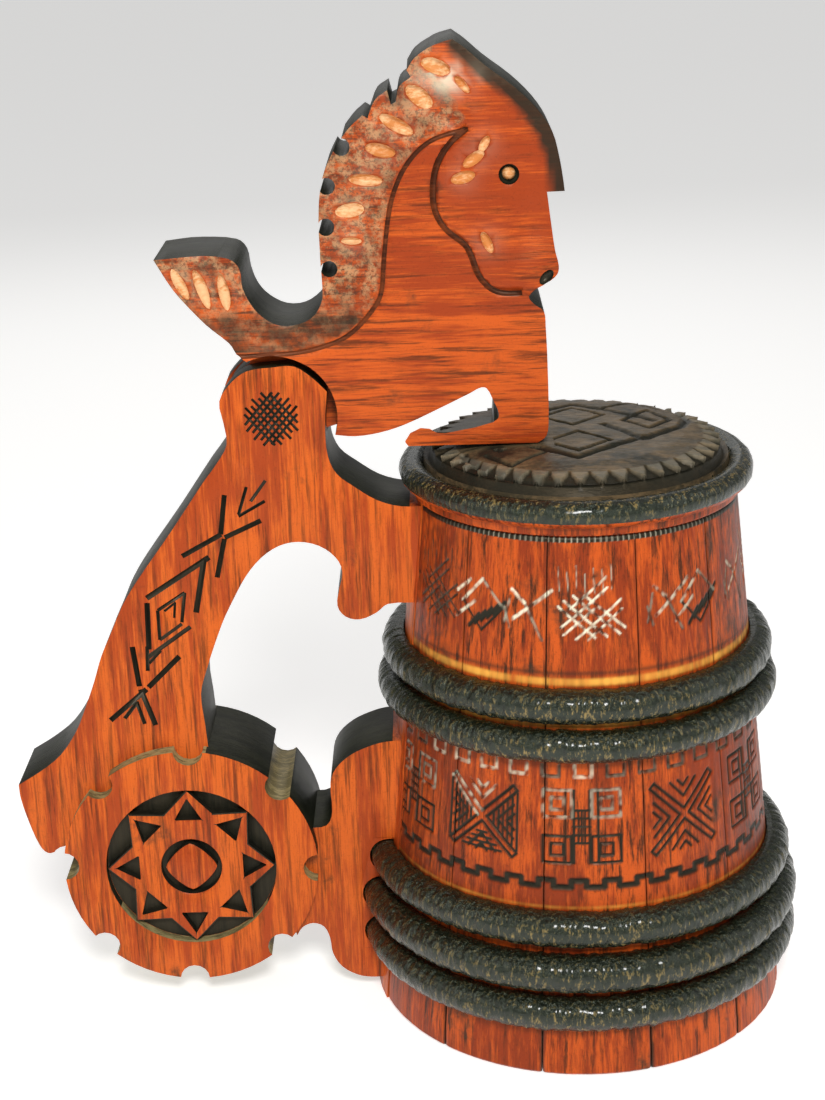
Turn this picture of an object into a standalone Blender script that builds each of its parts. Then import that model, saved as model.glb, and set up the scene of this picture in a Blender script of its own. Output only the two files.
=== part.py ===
"""A coopered wooden tankard with a carved horse for a thumb lever, about 295 mm tall.

Twelve staves stand round a bottom head and are bound by five split-withy hoops. The widest stave is cut
from one plank with the handle, whose foot is a carved wheel. The horse is doweled to the lid and turns on
a wooden pin in the fork at the top of the handle. Lengths below are millimetres, turned to metres by MM.
The outlines are drawn round the vessel's own axis, and the empty vessel_axis carries it all into place."""

import math

import bmesh
import bpy
from mathutils import Matrix, Vector

MM = 0.001
GAP = 0.3                    # air left between pieces that touch

# The vessel: a straight cone, wider at the foot.
FOOT_RADIUS = 64.7
WALL_SLOPE = 0.1025          # loss of radius for each millimetre of height
WALL = 8.0
MOUTH_Z = 163.4
STAVE_COUNT = 12
HANDLE_STAVE_DEG = 35.0      # the handle's stave is wider than the others
HEAD_BOTTOM, HEAD_TOP = 14.0, 22.0
CROZE_DEPTH = 3.0

# Each hoop: name, height, radius of its centre line, radius of the round withy.
HOOPS = (
    ("hoop_foot", 20.8, 63.7, 5.55),
    ("hoop_foot_middle", 34.1, 63.4, 6.0),
    ("hoop_foot_upper", 47.3, 61.05, 5.7),
    ("hoop_waist_lower", 103.2, 56.2, 5.1),
    ("hoop_waist_upper", 114.7, 54.27, 5.4),
)
HOOP_STEPS = 48

# The boards: the handle's plank, its thicker wheel, and the horse.
PLANK = 26.4
WHEEL_THICK = 36.0
WHEEL_X, WHEEL_Z, WHEEL_RADIUS = -121.0, 47.5, 39.5
ROSETTE_RADIUS, ROSETTE_DEPTH = 26.5, 3.5
RIM_NOTCHES, RIM_NOTCH_RADIUS = 8, 4.6
HORSE_THICK = 32.0

# The hinge at the top of the handle.
PIVOT_X, PIVOT_Z = -87.6, 191.0
PIN_RADIUS = 4.0
TONGUE = 10.0                # thickness of the horse between the fork's cheeks
TONGUE_RADIUS = 15.4
SHOULDER_RADIUS = 18.2       # hollow in the horse's full thickness that clears the cheeks
RUNNING = 0.4                # play on each side of what turns

# The lid.
LID_UNDER = 163.7
LID_CROWN = 181.0
ROLL_RADIUS, ROLL_Z, ROLL_THICK = 48.64, 170.0, 3.9
PLUG_DEPTH, PLUG_PLAY = 4.0, 1.6
DOWEL_RADIUS, DOWEL_X, DOWEL_Y, DOWEL_TOP = 3.0, -16.2, 8.0, 197.0
FOOT_SOLE = 181.4

AXIS_X = 51.9                # the vessel's axis, from the middle of the whole object
SHARP = True


def wall_radius(z):
    return FOOT_RADIUS - WALL_SLOPE * z


# Clear the scene.
for old in list(bpy.data.objects):
    bpy.data.objects.remove(old)

vessel_axis = bpy.data.objects.new("vessel_axis", None)
vessel_axis.location = (AXIS_X * MM, 0, 0)
bpy.context.collection.objects.link(vessel_axis)
lid_hinge = bpy.data.objects.new("lid_hinge", None)
lid_hinge.parent = vessel_axis
lid_hinge.location = (PIVOT_X * MM, 0, PIVOT_Z * MM)
bpy.context.collection.objects.link(lid_hinge)


def finish(name, colour, roughness):
    material = bpy.data.materials.new(name)
    material.use_nodes = True
    shader = material.node_tree.nodes["Principled BSDF"]
    shader.inputs["Base Color"].default_value = (*colour, 1)
    shader.inputs["Roughness"].default_value = roughness
    shader.inputs["Metallic"].default_value = 0.0
    return material


STAINED = finish("stained_wood", (0.50, 0.10, 0.02), 0.42)
HANDLE_WOOD = finish("handle_wood", (0.62, 0.15, 0.03), 0.42)
WITHY = finish("dark_withy", (0.018, 0.022, 0.016), 0.38)
LID_WOOD = finish("dark_lid_wood", (0.06, 0.035, 0.022), 0.45)
PALE_WOOD = finish("pale_wood", (0.48, 0.26, 0.11), 0.6)


def make_object(name, mesh_maker, material, moving=False, helper=False):
    """A mesh object drawn round the vessel's axis. A moving one hangs from the hinge, a helper only cuts."""
    builder = bmesh.new()
    mesh_maker(builder)
    bmesh.ops.remove_doubles(builder, verts=builder.verts, dist=0.02 * MM)
    bmesh.ops.recalc_face_normals(builder, faces=builder.faces)
    mesh = bpy.data.meshes.new(name)
    builder.to_mesh(mesh)
    builder.free()
    mesh.shade_smooth()
    mesh.set_sharp_from_angle(angle=math.radians(32))
    piece = bpy.data.objects.new(name, mesh)
    bpy.context.collection.objects.link(piece)
    if material:
        mesh.materials.append(material)
    piece.parent = lid_hinge if moving else vessel_axis
    if moving:
        piece.location = (-PIVOT_X * MM, 0, -PIVOT_Z * MM)
    if helper:
        piece.hide_render = True
        piece.display_type = "WIRE"
    return piece


def turned(builder, profile, start_deg=0.0, sweep_deg=360.0, steps=HOOP_STEPS, closed=True):
    """Spins a profile of (radius, height) round Z. A closed profile over part of a turn gets both end faces."""
    turn = Matrix.Rotation(math.radians(start_deg), 4, "Z")
    points = [builder.verts.new(turn @ Vector((r * MM, 0, z * MM))) for r, z in profile]
    pairs = list(zip(points, points[1:] + points[:1])) if closed else list(zip(points, points[1:]))
    edges = [builder.edges.new(pair) for pair in pairs]
    spun = bmesh.ops.spin(
        builder,
        geom=points + edges,
        cent=(0, 0, 0),
        axis=(0, 0, 1),
        dvec=(0, 0, 0),
        angle=math.radians(sweep_deg),
        steps=steps,
        use_duplicate=False,
    )
    if sweep_deg < 360:
        builder.faces.new(points)
        last = [part for part in spun["geom_last"] if isinstance(part, bmesh.types.BMEdge)]
        bmesh.ops.edgeloop_fill(builder, edges=last)


def smooth(outline, steps=3):
    """A closed curve through (x, z) points, rounded everywhere except at points marked SHARP."""
    count = len(outline)
    curve = []
    for i in range(count):
        before, here, after, beyond = (outline[(i + k) % count] for k in (-1, 0, 1, 2))
        a, b = Vector(here[:2]), Vector(after[:2])
        chord = (b - a).length
        leave = b - a if len(here) == 3 else (b - Vector(before[:2])).normalized() * chord
        arrive = b - a if len(after) == 3 else (Vector(beyond[:2]) - a).normalized() * chord
        straight = len(here) == 3 and len(after) == 3
        for k in range(1 if straight else steps):
            t = k / steps
            curve.append(
                a * (2 * t**3 - 3 * t**2 + 1)
                + leave * (t**3 - 2 * t**2 + t)
                + b * (3 * t**2 - 2 * t**3)
                + arrive * (t**3 - t**2)
            )
    return [(point.x, point.y) for point in curve]


def board(builder, outline, near, far):
    """Extrudes an outline in XZ from y=near to y=far."""
    face = builder.faces.new([builder.verts.new((x * MM, near * MM, z * MM)) for x, z in outline])
    pushed = bmesh.ops.extrude_face_region(builder, geom=[face])
    moved = [part for part in pushed["geom"] if isinstance(part, bmesh.types.BMVert)]
    bmesh.ops.translate(builder, verts=moved, vec=(0, (far - near) * MM, 0))


def arc(x, z, radius, from_deg, to_deg, steps):
    angles = [math.radians(from_deg + (to_deg - from_deg) * k / steps) for k in range(steps + 1)]
    return [(x + radius * math.cos(a), z + radius * math.sin(a)) for a in angles]


def peg(builder, x, z, radius, near, far, steps=32):
    """A round rod or hole along Y."""
    board(builder, arc(x, z, radius, 0, 360 - 360 / steps, steps - 1), near, far)


def upright_peg(builder, x, y, radius, low, high, steps=20):
    """A round rod or hole along Z."""
    bmesh.ops.create_cone(
        builder,
        cap_ends=True,
        segments=steps,
        radius1=radius * MM,
        radius2=radius * MM,
        depth=(high - low) * MM,
        matrix=Matrix.Translation((x * MM, y * MM, (low + high) / 2 * MM)),
    )


def combine(piece, other, operation):
    modifier = piece.modifiers.new(other.name, "BOOLEAN")
    modifier.operation = operation
    modifier.solver = "EXACT"
    modifier.object = other


# Staves. Each is a slice of the cone with the croze cut across its inside for the bottom head.
def stave_profile():
    croze_low, croze_high = HEAD_BOTTOM - GAP, HEAD_TOP + GAP
    inside = [(0.0, 0.0), (croze_low, 0.0), (croze_low, CROZE_DEPTH), (croze_high, CROZE_DEPTH)]
    inside += [(croze_high, 0.0), (MOUTH_Z, 0.0)]
    return [(wall_radius(z) - WALL + depth, z) for z, depth in inside] + [
        (wall_radius(MOUTH_Z), MOUTH_Z),
        (FOOT_RADIUS, 0.0),
    ]


def stave(builder, middle_deg, width_deg, steps):
    joint_deg = math.degrees(GAP / 2 / wall_radius(MOUTH_Z))
    turned(builder, stave_profile(), middle_deg - width_deg / 2 + joint_deg, width_deg - 2 * joint_deg, steps)


plain_count = STAVE_COUNT - 1
plain_width = (360 - HANDLE_STAVE_DEG) / plain_count
for number in range(plain_count):
    middle = 180 + HANDLE_STAVE_DEG / 2 + plain_width * (number + 0.5)
    make_object(f"stave_{number + 1:02d}", lambda b: stave(b, middle, plain_width, 5), STAINED)

# Bottom head, a flat disc sprung into the croze.
head_radius = wall_radius((HEAD_BOTTOM + HEAD_TOP) / 2) - WALL + CROZE_DEPTH - 2 * GAP
make_object(
    "bottom_head",
    lambda b: turned(b, [(0, HEAD_BOTTOM), (head_radius, HEAD_BOTTOM), (head_radius, HEAD_TOP), (0, HEAD_TOP)],
                     closed=False),
    PALE_WOOD,
)


# Hoops: a round withy split flat on the side that grips the cone.
def hoop_profile(height, radius, thick):
    ends = []
    for side in (-1, 1):
        reach = wall_radius(height + side * thick) + GAP - radius
        ends.append(side * math.acos(reach / thick))
    angles = [ends[0] + (ends[1] - ends[0]) * k / 8 for k in range(9)]
    return [(radius + thick * math.cos(a), height + thick * math.sin(a)) for a in angles]


for hoop_name, hoop_z, hoop_radius, hoop_thick in HOOPS:
    make_object(hoop_name, lambda b: turned(b, hoop_profile(hoop_z, hoop_radius, hoop_thick)), WITHY)

# Handle. Two boards of the one plank and the wheel are joined to their stave.
inside_wall = [(-(wall_radius(z) - 3.5), z) for z in (162.2, 131.8)]
HANDLE_ARM = [
    (*inside_wall[0], SHARP), (-52.0, 162.2), (-59.0, 164.3), (-65.9, 168.9), (-70.6, 172.8), (-72.9, 178.3),
    (-73.3, 186.0), (-72.8, 193.0), (-72.3, 197.6, SHARP), (-76.6, 202.0), (-81.5, 205.3), (-87.4, 205.2),
    (-95.0, 204.3), (-99.7, 201.1), (-103.5, 195.6), (-102.7, 189.0), (-102.2, 182.5), (-105.4, 176.9),
    (-109.7, 171.3), (-120.3, 156.2), (-131.6, 140.9), (-136.6, 133.1), (-140.3, 125.2), (-144.1, 117.2),
    (-146.9, 109.1), (-150.1, 101.0), (-153.7, 92.8), (-159.3, 84.8), (-166.0, 79.4), (-173.2, 75.0, SHARP),
    (-173.0, 70.5), (-171.2, 62.2), (-168.6, 54.0), (-166.3, 51.2), (-163.5, 51.8), (-160.0, 54.0, SHARP),
    (-145.0, 50.0, SHARP), (-121.0, 60.0, SHARP), (-113.6, 84.0, SHARP), (-114.2, 94.0), (-114.8, 103.8),
    (-112.8, 111.2), (-107.0, 126.6), (-103.2, 134.2), (-98.9, 141.7), (-94.1, 147.3), (-88.6, 150.9),
    (-82.8, 152.0), (-76.8, 150.6), (-72.0, 146.8), (-70.2, 142.3), (-71.4, 136.5), (-72.1, 131.4),
    (-69.8, 127.9), (-65.5, 126.9), (-60.4, 129.0), (-57.0, 131.6), (*inside_wall[1], SHARP),
]
handle_stave = make_object(
    "handle_stave", lambda b: board(b, smooth(HANDLE_ARM), -PLANK / 2, PLANK / 2), HANDLE_WOOD
)

lug_in_wall = [(-(wall_radius(z) - 3.5), z) for z in (4.2, 86.8)]
HANDLE_LUG = [
    (*lug_in_wall[1], SHARP), (-59.5, 86.4), (-65.0, 84.8), (-70.3, 82.2), (-74.8, 78.0), (-76.8, 73.0),
    (-76.7, 63.0), (-78.6, 58.4), (-84.0, 57.6, SHARP), (-112.0, 50.0, SHARP), (-92.0, 16.5, SHARP),
    (-89.8, 19.5, SHARP), (-87.8, 22.6), (-84.4, 24.0), (-81.0, 22.6), (-79.3, 18.5), (-78.6, 13.0),
    (-75.8, 8.0), (-71.0, 4.9), (-66.5, 4.0), (*lug_in_wall[0], SHARP),
]
lug = make_object(
    "lug_board", lambda b: board(b, smooth(HANDLE_LUG), -PLANK / 2, PLANK / 2), None, helper=True
)
wheel = make_object(
    "wheel_disc",
    lambda b: peg(b, WHEEL_X, WHEEL_Z, WHEEL_RADIUS, -WHEEL_THICK / 2, WHEEL_THICK / 2, 72),
    None,
    helper=True,
)
own_stave = make_object("own_stave", lambda b: stave(b, 180, HANDLE_STAVE_DEG, 6), None, helper=True)

# The foot hoops run through one slot between the lug and its stave.
lowest, highest = HOOPS[0], HOOPS[2]
hoop_slot = make_object(
    "hoop_slot",
    lambda b: turned(
        b,
        [
            (wall_radius(0) - 9, lowest[1] - lowest[3] - 0.6),
            (HOOPS[1][2] + HOOPS[1][3] + 0.6, lowest[1] - lowest[3] - 0.6),
            (HOOPS[1][2] + HOOPS[1][3] + 0.6, HOOPS[1][1] + 3),
            (highest[2] + highest[3] + 0.6, highest[1]),
            (highest[2] + highest[3] - 1.0, highest[1] + highest[3] + 0.6),
            (wall_radius(0) - 9, highest[1] + highest[3] + 0.6),
        ],
        150,
        60,
        8,
    ),
    None,
    helper=True,
)


def rim_notches(builder):
    """Bites round the rim. Where the handle's plank lies behind the rim, they are only as deep as the step."""
    for number in range(RIM_NOTCHES):
        turn_deg = 360 * number / RIM_NOTCHES
        turn = math.radians(turn_deg - 2)
        x = WHEEL_X + WHEEL_RADIUS * math.cos(turn)
        z = WHEEL_Z + WHEEL_RADIUS * math.sin(turn)
        if turn_deg in (0, 90, 135):
            peg(builder, x, z, RIM_NOTCH_RADIUS, -WHEEL_THICK, -PLANK / 2, 16)
            peg(builder, x, z, RIM_NOTCH_RADIUS, PLANK / 2, WHEEL_THICK, 16)
        else:
            peg(builder, x, z, RIM_NOTCH_RADIUS, -WHEEL_THICK, WHEEL_THICK, 16)


notches = make_object("rim_notches", rim_notches, None, helper=True)


def rosettes(builder):
    floor = WHEEL_THICK / 2 - ROSETTE_DEPTH
    for near, far in ((-WHEEL_THICK, -floor), (floor, WHEEL_THICK)):
        peg(builder, WHEEL_X, WHEEL_Z, ROSETTE_RADIUS, near, far, 48)


rosette_hollows = make_object("rosette_hollows", rosettes, None, helper=True)


def fork_slot(builder):
    """The gap for the tongue: round at the bottom, open at the top and on both sides."""
    half = TONGUE / 2 + RUNNING
    floor = arc(PIVOT_X, PIVOT_Z, TONGUE_RADIUS + 0.9, 200, 340, 14)
    reach = SHOULDER_RADIUS + 6
    sides = [(PIVOT_X + reach, PIVOT_Z - 5.6), (PIVOT_X + reach, PIVOT_Z + reach)]
    sides += [(PIVOT_X - reach, PIVOT_Z + reach), (PIVOT_X - reach, PIVOT_Z - 5.6)]
    board(builder, floor + sides, -half, half)


slot = make_object("fork_slot", fork_slot, None, helper=True)
pin_hole = make_object(
    "pin_hole", lambda b: peg(b, PIVOT_X, PIVOT_Z, PIN_RADIUS + GAP, -PLANK, PLANK, 24), None, helper=True
)
combine(handle_stave, lug, "UNION")
combine(handle_stave, wheel, "UNION")
for cutter in (hoop_slot, notches, rosette_hollows, slot, pin_hole):
    combine(handle_stave, cutter, "DIFFERENCE")
combine(handle_stave, own_stave, "UNION")

make_object(
    "hinge_pin", lambda b: peg(b, PIVOT_X, PIVOT_Z, PIN_RADIUS, -PLANK / 2, PLANK / 2, 24), PALE_WOOD
)

# Lid: a domed disc with a rolled rim and a shallow plug that finds the mouth.
roll_top = math.radians(150)
ROLL = [
    (ROLL_RADIUS + ROLL_THICK * math.cos(a), ROLL_Z + ROLL_THICK * math.sin(a))
    for a in (roll_top - (roll_top + math.radians(80)) * k / 11 for k in range(12))
]
mouth_radius = wall_radius(MOUTH_Z) - WALL
LID_PROFILE = (
    [(0, LID_CROWN), (20, 180.9), (32, 180.1), (43.8, 177.8), (45.2, 174.0)]
    + ROLL
    + [(49.3, LID_UNDER), (mouth_radius - PLUG_PLAY + 0.4, LID_UNDER),
       (mouth_radius - PLUG_PLAY, LID_UNDER - PLUG_DEPTH), (0, LID_UNDER - PLUG_DEPTH)]
)
lid = make_object("lid", lambda b: turned(b, LID_PROFILE, closed=False), LID_WOOD, moving=True)


def dowel_holes(builder):
    for y in (-DOWEL_Y, DOWEL_Y):
        upright_peg(builder, DOWEL_X, y, DOWEL_RADIUS + GAP, LID_UNDER - 12, DOWEL_TOP + GAP)


holes = make_object("dowel_holes", dowel_holes, None, helper=True)
combine(lid, holes, "DIFFERENCE")
for dowel_name, dowel_y in (("lid_dowel_front", -DOWEL_Y), ("lid_dowel_back", DOWEL_Y)):
    make_object(
        dowel_name,
        lambda b: upright_peg(b, DOWEL_X, dowel_y, DOWEL_RADIUS, LID_UNDER - PLUG_DEPTH, DOWEL_TOP),
        PALE_WOOD,
        moving=True,
    )

# Horse: head and forelock, chest, foot, hollowed shoulder, tail, then up the mane.
HORSE = (
    [
        (-33.9, 295.6, SHARP), (-30.4, 293.1), (-25.1, 288.4), (-17.1, 282.3), (-11.0, 276.2), (-7.0, 270.1),
        (-5.2, 263.5), (-4.1, 257.0), (-3.7, 253.7, SHARP), (-8.6, 253.6, SHARP), (-7.6, 245.5),
        (-6.5, 237.3), (-5.5, 233.0), (-6.0, 230.5), (-8.8, 228.3), (-12.4, 226.4), (-14.0, 224.3),
        (-12.6, 222.2), (-9.8, 219.9), (-9.3, 216.0), (-8.8, 203.0), (-8.7, 187.5), (-9.4, 183.3),
        (-11.8, FOOT_SOLE, SHARP), (-49.3, FOOT_SOLE, SHARP), (-50.2, 183.0), (-48.6, 185.5), (-45.6, 186.9),
        (-43.0, 186.6), (-41.0, 185.3), (-38.5, 185.1), (-30.0, 186.6), (-24.2, 188.2), (-22.9, 190.0),
        (-24.6, 194.5), (-26.4, 198.0), (-28.2, 198.2), (-31.1, 196.7), (-39.9, 192.5), (-50.1, 187.9),
        (-57.4, 185.7), (-64.6, 184.8),
    ]
    + [(x, z, SHARP) for x, z in arc(PIVOT_X, PIVOT_Z, SHOULDER_RADIUS, -18, 113, 20)]
    + [
        (-97.4, 209.9), (-99.4, 213.2), (-105.8, 218.8), (-112.4, 226.2), (-117.3, 234.0),
        (-119.3, 237.5, SHARP), (-108.0, 238.3), (-98.4, 237.4), (-95.4, 234.6), (-94.6, 229.0),
        (-92.7, 224.2), (-89.5, 220.4), (-84.6, 217.8), (-78.9, 218.1), (-74.5, 220.8), (-72.3, 225.0),
        (-72.2, 231.0), (-72.4, 240.0), (-72.2, 250.0), (-70.8, 259.0), (-67.6, 266.0), (-62.8, 272.6),
        (-59.0, 275.9, SHARP), (-57.6, 275.0, SHARP), (-55.4, 280.0), (-52.0, 282.4, SHARP),
        (-51.1, 278.6, SHARP), (-49.7, 279.3, SHARP), (-48.6, 283.4), (-45.4, 285.8, SHARP),
        (-46.5, 287.6, SHARP), (-44.2, 290.9), (-38.8, 294.2),
    ]
)
horse = make_object(
    "horse_lever",
    lambda b: board(b, smooth(HORSE), -HORSE_THICK / 2, HORSE_THICK / 2),
    HANDLE_WOOD,
    moving=True,
)


def foot_slope(builder):
    """The top of the foot falls away to the far side, as the saw that opened the gap was held."""
    foot_top = [(-50.3, 182.9), (-48.6, 185.5), (-45.6, 186.9), (-43.0, 186.6), (-41.0, 185.3), (-38.5, 185.1),
                (-30.0, 186.6), (-24.4, 188.1)]
    under_belly = [(-23.6, 190.0), (-26.4, 196.6), (-31.2, 195.6), (-40.0, 191.4), (-54.5, 185.4)]
    fall = 0.3 * HORSE_THICK
    near = [(x, -HORSE_THICK / 2 - 0.5, z) for x, z in foot_top + under_belly]
    far = [(x, HORSE_THICK / 2 + 0.5, z - fall) for x, z in foot_top]
    far += [(x, HORSE_THICK / 2 + 0.5, z) for x, z in under_belly]
    near_points = [builder.verts.new([size * MM for size in point]) for point in near]
    far_points = [builder.verts.new([size * MM for size in point]) for point in far]
    builder.faces.new(near_points)
    builder.faces.new(far_points)
    count = len(near)
    for k in range(count):
        after = (k + 1) % count
        builder.faces.new((near_points[k], near_points[after], far_points[after]))
        builder.faces.new((near_points[k], far_points[after], far_points[k]))


def tongue(builder):
    """The thin part of the horse that turns in the fork."""
    round_end = arc(PIVOT_X, PIVOT_Z, TONGUE_RADIUS, 118, 335, 26)
    inside_horse = [(PIVOT_X + 20.5, PIVOT_Z - 4.6), (PIVOT_X + 21.5, PIVOT_Z + 8)]
    inside_horse += [(PIVOT_X + 14, PIVOT_Z + 20), (PIVOT_X - 5, PIVOT_Z + 22)]
    board(builder, round_end + inside_horse, -TONGUE / 2, TONGUE / 2)


def eyes(builder):
    for near, far in ((-HORSE_THICK, -HORSE_THICK / 2 + 2.5), (HORSE_THICK / 2 - 2.5, HORSE_THICK)):
        peg(builder, -19.1, 258.8, 2.9, near, far, 20)


def mane_bites(builder):
    for x, z in ((-70.0, 233.6), (-70.4, 245.4), (-69.7, 256.8), (-65.2, 267.4)):
        peg(builder, x, z, 2.4, -HORSE_THICK, HORSE_THICK, 14)


combine(horse, make_object("mane_bites", mane_bites, None, helper=True), "DIFFERENCE")
combine(horse, make_object("foot_slope", foot_slope, None, helper=True), "DIFFERENCE")
combine(horse, make_object("eye_holes", eyes, None, helper=True), "DIFFERENCE")
combine(horse, make_object("tongue", tongue, None, helper=True), "UNION")
tongue_bore = make_object(
    "tongue_bore",
    lambda b: peg(b, PIVOT_X, PIVOT_Z, PIN_RADIUS + RUNNING, -TONGUE, TONGUE, 24),
    None,
    helper=True,
)
combine(horse, tongue_bore, "DIFFERENCE")
combine(horse, holes, "DIFFERENCE")
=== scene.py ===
"""A coopered wooden tankard with a board handle and a hinged lid that a carved horse works.
Stained staves stand in five withy hoops, chip-carved all round, and scorched in the cuts."""

import math

import bpy
import numpy as np
from mathutils import Matrix, Vector, noise


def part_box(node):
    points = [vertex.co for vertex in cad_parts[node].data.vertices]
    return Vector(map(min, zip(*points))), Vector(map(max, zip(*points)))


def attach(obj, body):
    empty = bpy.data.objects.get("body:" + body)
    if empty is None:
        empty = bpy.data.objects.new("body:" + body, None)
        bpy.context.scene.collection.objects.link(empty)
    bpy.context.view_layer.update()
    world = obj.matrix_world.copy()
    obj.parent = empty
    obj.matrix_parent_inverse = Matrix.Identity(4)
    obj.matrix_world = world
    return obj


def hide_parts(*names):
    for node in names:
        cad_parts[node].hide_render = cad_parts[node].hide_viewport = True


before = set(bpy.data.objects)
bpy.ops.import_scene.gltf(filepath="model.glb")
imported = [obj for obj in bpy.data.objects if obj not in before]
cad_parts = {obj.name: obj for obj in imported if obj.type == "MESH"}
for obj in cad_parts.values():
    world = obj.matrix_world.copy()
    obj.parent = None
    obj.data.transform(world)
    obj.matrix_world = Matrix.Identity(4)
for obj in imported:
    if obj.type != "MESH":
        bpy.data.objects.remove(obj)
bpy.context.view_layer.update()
bpy.ops.object.select_all(action="DESELECT")


# --- The room ---
# A pale floor that glows a little, one soft lamp high in front, weaker ones at the sides and behind, and an
# even sky. The camera looks a little down at the tankard, with a slight tilt of the hand.
MM = 0.001
foot_hoop_low, foot_hoop_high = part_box("hoop_foot")
AXIS_X = (foot_hoop_low.x + foot_hoop_high.x) / 2 / MM   # the vessel's own axis; carving is drawn round it

view_down, view_tilt, view_turn = math.radians(19.495), math.radians(-1.859), math.radians(-0.887)
camera_data = bpy.data.cameras.new("camera")
camera_data.lens = 65.69
camera_data.sensor_width = 36
camera = bpy.data.objects.new("camera", camera_data)
bpy.context.scene.collection.objects.link(camera)
camera.location = (0.01145, -0.5733, 0.34682)
looking = Vector((math.sin(view_turn) * math.cos(view_down), math.cos(view_turn) * math.cos(view_down),
                  -math.sin(view_down)))
turned = looking.to_track_quat("-Z", "Y").to_matrix() @ Matrix.Rotation(view_tilt, 3, "Z")
camera.rotation_euler = turned.to_euler()
bpy.context.scene.camera = camera

bpy.ops.mesh.primitive_plane_add(size=20, location=(0, 0, -0.0005))
floor = bpy.context.active_object
floor.name = "floor"
floor_paint = bpy.data.materials.new("pale_floor")
floor_paint.use_nodes = True
shader = floor_paint.node_tree.nodes["Principled BSDF"]
shader.inputs["Base Color"].default_value = (0.82, 0.81, 0.79, 1)
shader.inputs["Roughness"].default_value = 0.8
shader.inputs["Emission Color"].default_value = (1, 1, 1, 1)
shader.inputs["Emission Strength"].default_value = 0.5
floor.data.materials.append(floor_paint)

LAMPS = (
    ("front_lamp", (0.06, -0.85, 0.80), 0.22, 9.5),
    ("left_lamp", (-0.9, -0.5, 0.6), 0.8, 1.5),
    ("right_lamp", (0.9, -0.1, 0.7), 0.8, 1.5),
    ("back_lamp", (-0.1, 0.9, 0.8), 0.9, 2.5),
)
for lamp_name, stand, size, watts in LAMPS:
    lamp_data = bpy.data.lights.new(lamp_name, "AREA")
    lamp_data.size = size
    lamp_data.energy = watts
    lamp = bpy.data.objects.new(lamp_name, lamp_data)
    lamp.location = stand
    lamp.rotation_euler = (Vector((0, 0, 0.13)) - Vector(stand)).to_track_quat("-Z", "Y").to_euler()
    bpy.context.scene.collection.objects.link(lamp)
sky = bpy.data.worlds.new("sky")
sky.use_nodes = True
sky.node_tree.nodes["Background"].inputs["Color"].default_value = (1, 0.99, 0.97, 1)
sky.node_tree.nodes["Background"].inputs["Strength"].default_value = 0.2
bpy.context.scene.world = sky
bpy.context.scene.view_settings.view_transform = "Standard"


# --- Staves ---
# Eleven staves, each a slice of a cone, stained red and darkened in the grain. Knife-cut signs run round
# them in two bands between the hoops: some cuts are scorched dark and some are scratched down to pale
# wood. Each stave is a sheet of fine squares bent round its own section and closed at both ends.
FOOT_RADIUS, WALL_SLOPE, WALL, MOUTH_Z = 64.7, 0.1025, 8.0, 163.4
HEAD_LOW, HEAD_HIGH, CROZE = 14.0, 22.0, 3.0
STAVE_DEG, FIRST_STAVE_DEG, JOINT = 29.545, 197.5, 0.15
SIGN_RADIUS = 58.0      # signs are laid out on a wall of this radius, from 0 at the front, + to the right
LOW_BAND_Z, HIGH_BAND_Z = 78.0, 141.2


def wall_radius(z):
    return FOOT_RADIUS - WALL_SLOPE * z


# A stroke is its two ends, its half width, its depth, and how pale it is: 0 scorched, 1 scratched.
def square_cut(u, z, wide, high, pale):
    left, right, low, top = u - wide / 2, u + wide / 2, z - high / 2, z + high / 2
    corners = [(left, low), (right, low), (right, top), (left, top)]
    return [(*a, *b, 0.55, 0.55, pale) for a, b in zip(corners, corners[1:] + corners[:1])]


def angle_up(u, z, du, dz, pale):
    """Two strokes that meet at (u, z), opening upwards."""
    return [(u - du, z + dz, u, z, 0.55, 0.55, pale), (u, z, u + du, z + dz, 0.55, 0.55, pale)]


def angle_aside(u, z, du, dz):
    """Two strokes that meet at (u, z), opening to one side."""
    return [(u + du, z - dz, u, z, 0.55, 0.55, 0.0), (u, z, u + du, z + dz, 0.55, 0.55, 0.0)]


def knot_sign(u, z, pale):
    """Four small squares at the corners, tied by two doubled uprights and a hatched middle."""
    strokes = []
    for side in (-1, 1):
        for end in (-1, 1):
            ink = pale if end > 0 else 0.0
            strokes += square_cut(u + side * 7.3, z + end * 7.0, 8.6, 8.2, ink)
            strokes += square_cut(u + side * 7.3, z + end * 7.0, 3.8, 3.6, ink * 0.8)
        for off in (2.3, 4.9):
            strokes.append((u + side * off, z - 11, u + side * off, z + 11, 0.5, 0.5, 0.0))
    for row in range(5):
        level = z - 5 + row * 2.5
        strokes.append((u - 2.6, level, u + 2.6, level, 0.5, 0.45, 0.0))
    for post in (-1, 0, 1):
        strokes.append((u + post, z - 5, u + post, z + 5, 0.4, 0.4, 0.0))
    return strokes


def cross_sign(u, z, pale):
    """A cross of doubled bars with nested angles between its arms."""
    strokes = []
    for side in (-1, 1):
        for end in (-1, 1):
            tip_u, tip_z = u + side * 11.5, z + end * 11
            ink = pale if end > 0 and side < 0 else 0.0
            strokes.append((u + side * 1.6, z, tip_u, tip_z - end * 1.4, 0.6, 0.6, ink))
            strokes.append((u, z + end * 1.6, tip_u - side * 1.4, tip_z, 0.6, 0.6, ink))
            strokes.append((tip_u, tip_z - end * 1.4, tip_u - side * 1.4, tip_z, 0.55, 0.5, 0.0))
        strokes += angle_aside(u + side * 5.2, z, side * 5.2, 5.2)
        strokes += angle_aside(u + side * 8.2, z, side * 2.4, 2.4)
        strokes += angle_up(u, z + side * 5.4, 4.6, side * 4.8, pale if side > 0 else 0.0)
        strokes += angle_up(u, z + side * 8.6, 1.9, side * 1.9, pale if side > 0 else 0.0)
    return strokes


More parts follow.
